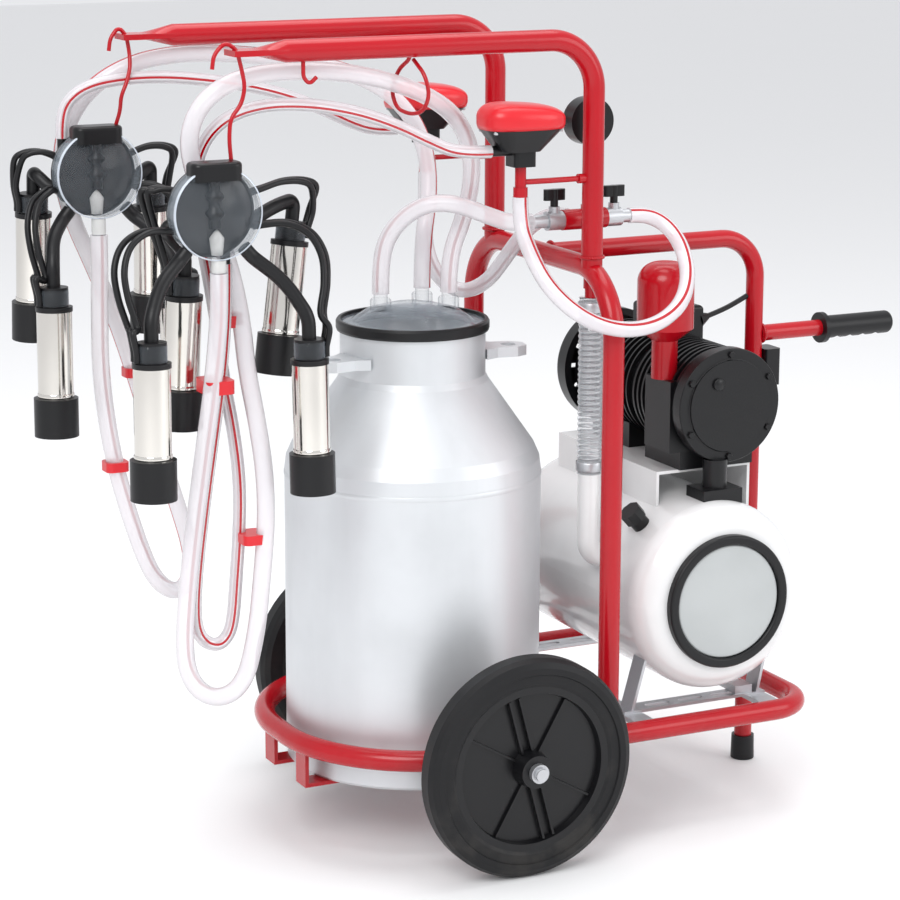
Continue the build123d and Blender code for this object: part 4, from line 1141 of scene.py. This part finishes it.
@dataclass
class Clusters:
    """Both claws with their cups and the thin twin pulse tubes.

    Attributes:
        front_swing: A front tube's path, out and up from the claw's middle.
        back_swing: The same for a back tube.
        start_depth: How far behind the claw's middle front and back tubes start.
        landing: A tube's last points, above the shell's nipples and out from the cup's axis.
        nipple_height: The height of the shell's nipples on the cup.
        tube_radius: A thin tube's radius.
        twin_gap: Half the distance between the two tubes of a pair.
        twin_spread: How much wider one tube swings than the other.
        sight: The clear sleeve's radius and height on a cup.
        shell_rim: The radius and height of the shell's rolled rim.
        cover: The dark cover's radius and height in the bowl.
        cover_back: How far behind the claw's middle the cover starts.
        stem: The stem's radius and its collars' radius.
        front: How far in front of the claw's middle the stem and funnel stand.
        funnel: The funnel's radius and height from the claw's middle.
        bowl_rim: The radius and height of the bowl's bright rim.
    """

    front_swing: Profile = ((0.050, -0.020), (0.088, -0.018), (0.115, -0.031), (0.128, -0.057),
                            (0.127, -0.089), (0.119, -0.122))
    back_swing: Profile = ((0.036, 0.012), (0.074, 0.020), (0.104, 0.026), (0.134, 0.024),
                           (0.150, 0.014))
    start_depth: tuple[float, float] = (0.006, 0.024)
    landing: Profile = ((0.026, 0.024), (0.004, 0.0200), (-0.008, 0.0196))
    nipple_height: float = 0.172
    tube_radius: float = 0.0040
    twin_gap: float = 0.005
    twin_spread: float = 0.035
    sight: Profile = ((0.0183, 0.163), (0.0186, 0.165), (0.0186, 0.182), (0.0150, 0.186))
    shell_rim: Profile = ((0.0222, 0.0485), (0.0229, 0.050), (0.0229, 0.053), (0.0222, 0.0545))
    cover: Profile = ((0.0, 0.008), (0.020, 0.008), (0.026, 0.005), (0.040, 0.004), (0.050, 0.0))
    cover_back: float = 0.0058
    stem: tuple[float, float] = (0.0065, 0.011)
    front: float = 0.005
    funnel: Profile = ((0.0, -0.050), (0.007, -0.050), (0.009, -0.030), (0.003, -0.022),
                       (0.0, -0.020))
    bowl_rim: Profile = ((0.0535, 0.0182), (0.0552, 0.0180), (0.0554, 0.0160), (0.0551, 0.0140))

    def build(self) -> None:
        """Dress the clusters and add what only shows: tubes, sights and insides."""
        PALETTE.dress("clear_plastic", "claw_bowls")
        PALETTE.dress("black_plastic", "claw_tops")
        PALETTE.dress("polished_steel", "cup_shells")
        PALETTE.dress("rubber", "cup_liners", "short_milk_tubes")
        PALETTE.dress("red_plastic", "hose_clips")
        for claw in CLAWS:
            self.pulse_tubes(claw)
            self.sights(claw)
            self.inside(claw)
            self.fittings(claw)

    def pulse_tubes(self, claw: Claw) -> None:
        """Lay twin tubes from the claw's side, out and down to each cup's nipples.

        Args:
            claw: The claw.
        """
        tubes = [tube(smooth_line(self.tube_path(claw, k, twin)), self.tube_radius, 8)
                 for k in range(len(claw.cups)) for twin in (-1, 1)]
        solid(f"{claw.name}_pulse_tubes", *joined(tubes), "rubber")

    def tube_path(self, claw: Claw, k: int, twin: int) -> list[Point]:
        """Work out one thin tube's points: the swing, scaled, then the landing on the cup.

        Args:
            claw: The claw.
            k: The cup's number.
            twin: -1 or 1 for the two tubes of a pair.

        Returns:
            The points.
        """
        x, y, z = claw.centre
        cup = claw.cups[k]
        hand = -1 if cup.foot[0] < x else 1
        lean = np.array(cup.axis) / np.linalg.norm(cup.axis)
        top = np.array(cup.foot) + lean * self.nipple_height
        swing = self.back_swing if k > 1 else self.front_swing
        start = y + self.start_depth[k > 1]
        reach = cup.swing * (1.0 + self.twin_spread * twin)
        path = []
        for i, (out, rise) in enumerate(swing):
            depth = start + (top[1] - start) * i / len(swing) + self.twin_gap * twin
            path.append((x + hand * out * (reach if i else 1.0), depth, z + rise))
        for high, out in self.landing:
            path.append(tuple(top + lean * high + (hand * out, self.twin_gap * twin, 0)))
        return path

    def sights(self, claw: Claw) -> None:
        """Turn a clear sleeve and a bright rim on each cup, about the cup's own axis.

        Args:
            claw: The claw.
        """
        sleeves = [turned(cup.foot, cup.axis, self.sight, 32) for cup in claw.cups]
        solid(f"{claw.name}_cup_sights", *joined(sleeves), "clear_plastic")
        rims = [turned(cup.foot, cup.axis, self.shell_rim, 40) for cup in claw.cups]
        solid(f"{claw.name}_cup_rims", *joined(rims), "polished_steel")

    def inside(self, claw: Claw) -> None:
        """Set a near-black disc as painted shade, and the collared valve stem, behind the clear bowl.

        Args:
            claw: The claw.
        """
        x, y, z = claw.centre
        # Painted shade: a near-black disc just behind the bowl's middle stands in for the shade
        # inside the clear bowl.
        cover = turned((x, y + self.cover_back, z), NEARWARD, self.cover, 48)
        surface(f"{claw.name}_claw_cover", cover, "black_plastic", CLAW_COVER)
        line = [(x, y - self.front, z + 0.037 - 0.004 * i) for i in range(15)]
        thin, thick = self.stem
        width = [thick if i in (4, 5, 9, 10) else thin for i in range(15)]
        surface(f"{claw.name}_claw_stem", tube(line, width, 16), "black_plastic")

    def fittings(self, claw: Claw) -> None:
        """Turn the milky spout and funnel and the bowl's bright rim.

        Args:
            claw: The claw.
        """
        x, y, z = claw.centre
        spout_x, spout_y, foot = claw.spout
        spout = ((0.0088, foot + 0.001), (0.0092, foot + 0.006), (0.0088, z - 0.0555))
        surface(f"{claw.name}_claw_spout", turned((spout_x, spout_y, 0), UP, spout, 32),
                "clear_plastic", CLAW_SPOUT)
        surface(f"{claw.name}_claw_funnel", turned((spout_x, y - self.front, z), UP, self.funnel, 24),
                "clear_plastic", CLAW_FUNNEL)
        surface(f"{claw.name}_claw_rim", turned(claw.centre, NEARWARD, self.bowl_rim, 72),
                "clear_plastic", CLAW_RIM)


# -------------------------------------------------------------- light, camera
@dataclass(frozen=True)
class Camera:
    """Where the viewer stands.

    Attributes:
        place: The lens's place.
        azimuth: The turn of the view, in degrees, 0 along +Y.
        elevation: How far the view looks down, in degrees.
        roll: How far the camera leans, in degrees.
        lens: The focal length, in millimetres.
        sensor: The sensor's width, in millimetres.
        reach: How far away things are still drawn.
    """

    place: Point = (-1.7130, -3.2707, 1.3227)
    azimuth: float = -26.5
    elevation: float = 12.9
    roll: float = 0.2
    lens: float = 115.95
    sensor: float = 36.0
    reach: float = 60.0

    def build(self) -> None:
        """Aim the camera along its angles."""
        a, e, r = (math.radians(v) for v in (self.azimuth, self.elevation, self.roll))
        ahead = Vector((-math.sin(a) * math.cos(e), math.cos(a) * math.cos(e), -math.sin(e)))
        level = Vector((math.cos(a), math.sin(a), 0))
        tilt = level.cross(ahead)
        right = level * math.cos(r) + tilt * math.sin(r)
        up = tilt * math.cos(r) - level * math.sin(r)
        data = bpy.data.cameras.new("camera")
        data.lens = self.lens
        data.sensor_width = self.sensor
        data.clip_end = self.reach
        camera = bpy.data.objects.new("camera", data)
        turn = Matrix((right, up, -ahead)).transposed().to_4x4()
        camera.matrix_world = Matrix.Translation(self.place) @ turn
        bpy.context.scene.collection.objects.link(camera)
        bpy.context.scene.camera = camera


@dataclass(frozen=True)
class Lamp:
    """One soft area light aimed at the middle of the machine.

    Attributes:
        name: The lamp's name.
        place: Where it hangs.
        size: Its width.
        power: Its power, in watts.
        aim: The point that it shines on.
    """

    name: str
    place: Point
    size: float
    power: float
    aim: Point = (0.0, 0.0, 0.45)

    def build(self) -> None:
        """Hang the lamp."""
        data = bpy.data.lights.new(self.name, "AREA")
        data.shape = "DISK"
        data.size = self.size
        data.energy = self.power
        lamp = bpy.data.objects.new(self.name, data)
        turn = (Vector(self.aim) - Vector(self.place)).to_track_quat("-Z", "Y")
        lamp.matrix_world = Matrix.Translation(self.place) @ turn.to_matrix().to_4x4()
        bpy.context.scene.collection.objects.link(lamp)


@dataclass
class Studio:
    """A plain pale floor under even light.

    Attributes:
        reach: Half the floor's width.
        floor_tones: The floor's two pale tones.
        lamps: The lamps.
        sky_colour: The light all round.
        sky_strength: How bright it is.
    """

    reach: float = 14.0
    floor_tones: tuple[Colour, Colour] = ((0.88, 0.88, 0.88), (0.82, 0.82, 0.82))
    lamps: tuple[Lamp, ...] = (Lamp("key", (-2.6, -2.6, 3.4), 2.6, 95.0),
                               Lamp("fill", (2.8, -3.0, 2.0), 2.6, 40.0),
                               Lamp("top", (0.3, 0.4, 4.0), 3.2, 70.0))
    sky_colour: Colour = (0.96, 0.97, 1.0)
    sky_strength: float = 0.85

    def build(self) -> None:
        """Lay the floor, hang the lamps and set the sky."""
        self.floor()
        for lamp in self.lamps:
            lamp.build()
        world = bpy.data.worlds.new("studio")
        world.use_nodes = True
        sky = world.node_tree.nodes["Background"]
        sky.inputs["Color"].default_value = rgba(self.sky_colour)
        sky.inputs["Strength"].default_value = self.sky_strength
        bpy.context.scene.world = world
        bpy.context.scene.view_settings.view_transform = "Standard"

    def floor(self) -> None:
        """Lay the floor as one square."""
        r = self.reach
        mesh = bpy.data.meshes.new("floor")
        mesh.from_pydata([(-r, -r, 0), (r, -r, 0), (r, r, 0), (-r, r, 0)], [], [[0, 1, 2, 3]])
        graph = Graph("floor")
        tone = graph.mix(graph.noise(1.5, 2.0) * 0.1, *self.floor_tones)
        mesh.materials.append(graph.close(Base_Color=tone, Roughness=0.7))
        floor = bpy.data.objects.new("floor", mesh)
        bpy.context.scene.collection.objects.link(floor)


def main() -> None:
    """Build the scene: camera and hoses first, then every sub-assembly."""
    logging.basicConfig(level=logging.INFO)
    Camera().build()
    for hose in HOSES:
        hose.build()
    for assembly in (WeldedFrame(), Wheels(), MilkCan(), VacuumTank(), PumpSet(), Piping(),
                     Pulsators(), Clusters(), Studio()):
        assembly.build()
        LOG.info("built %s", type(assembly).__name__)


if __name__ == "__main__":
    main()
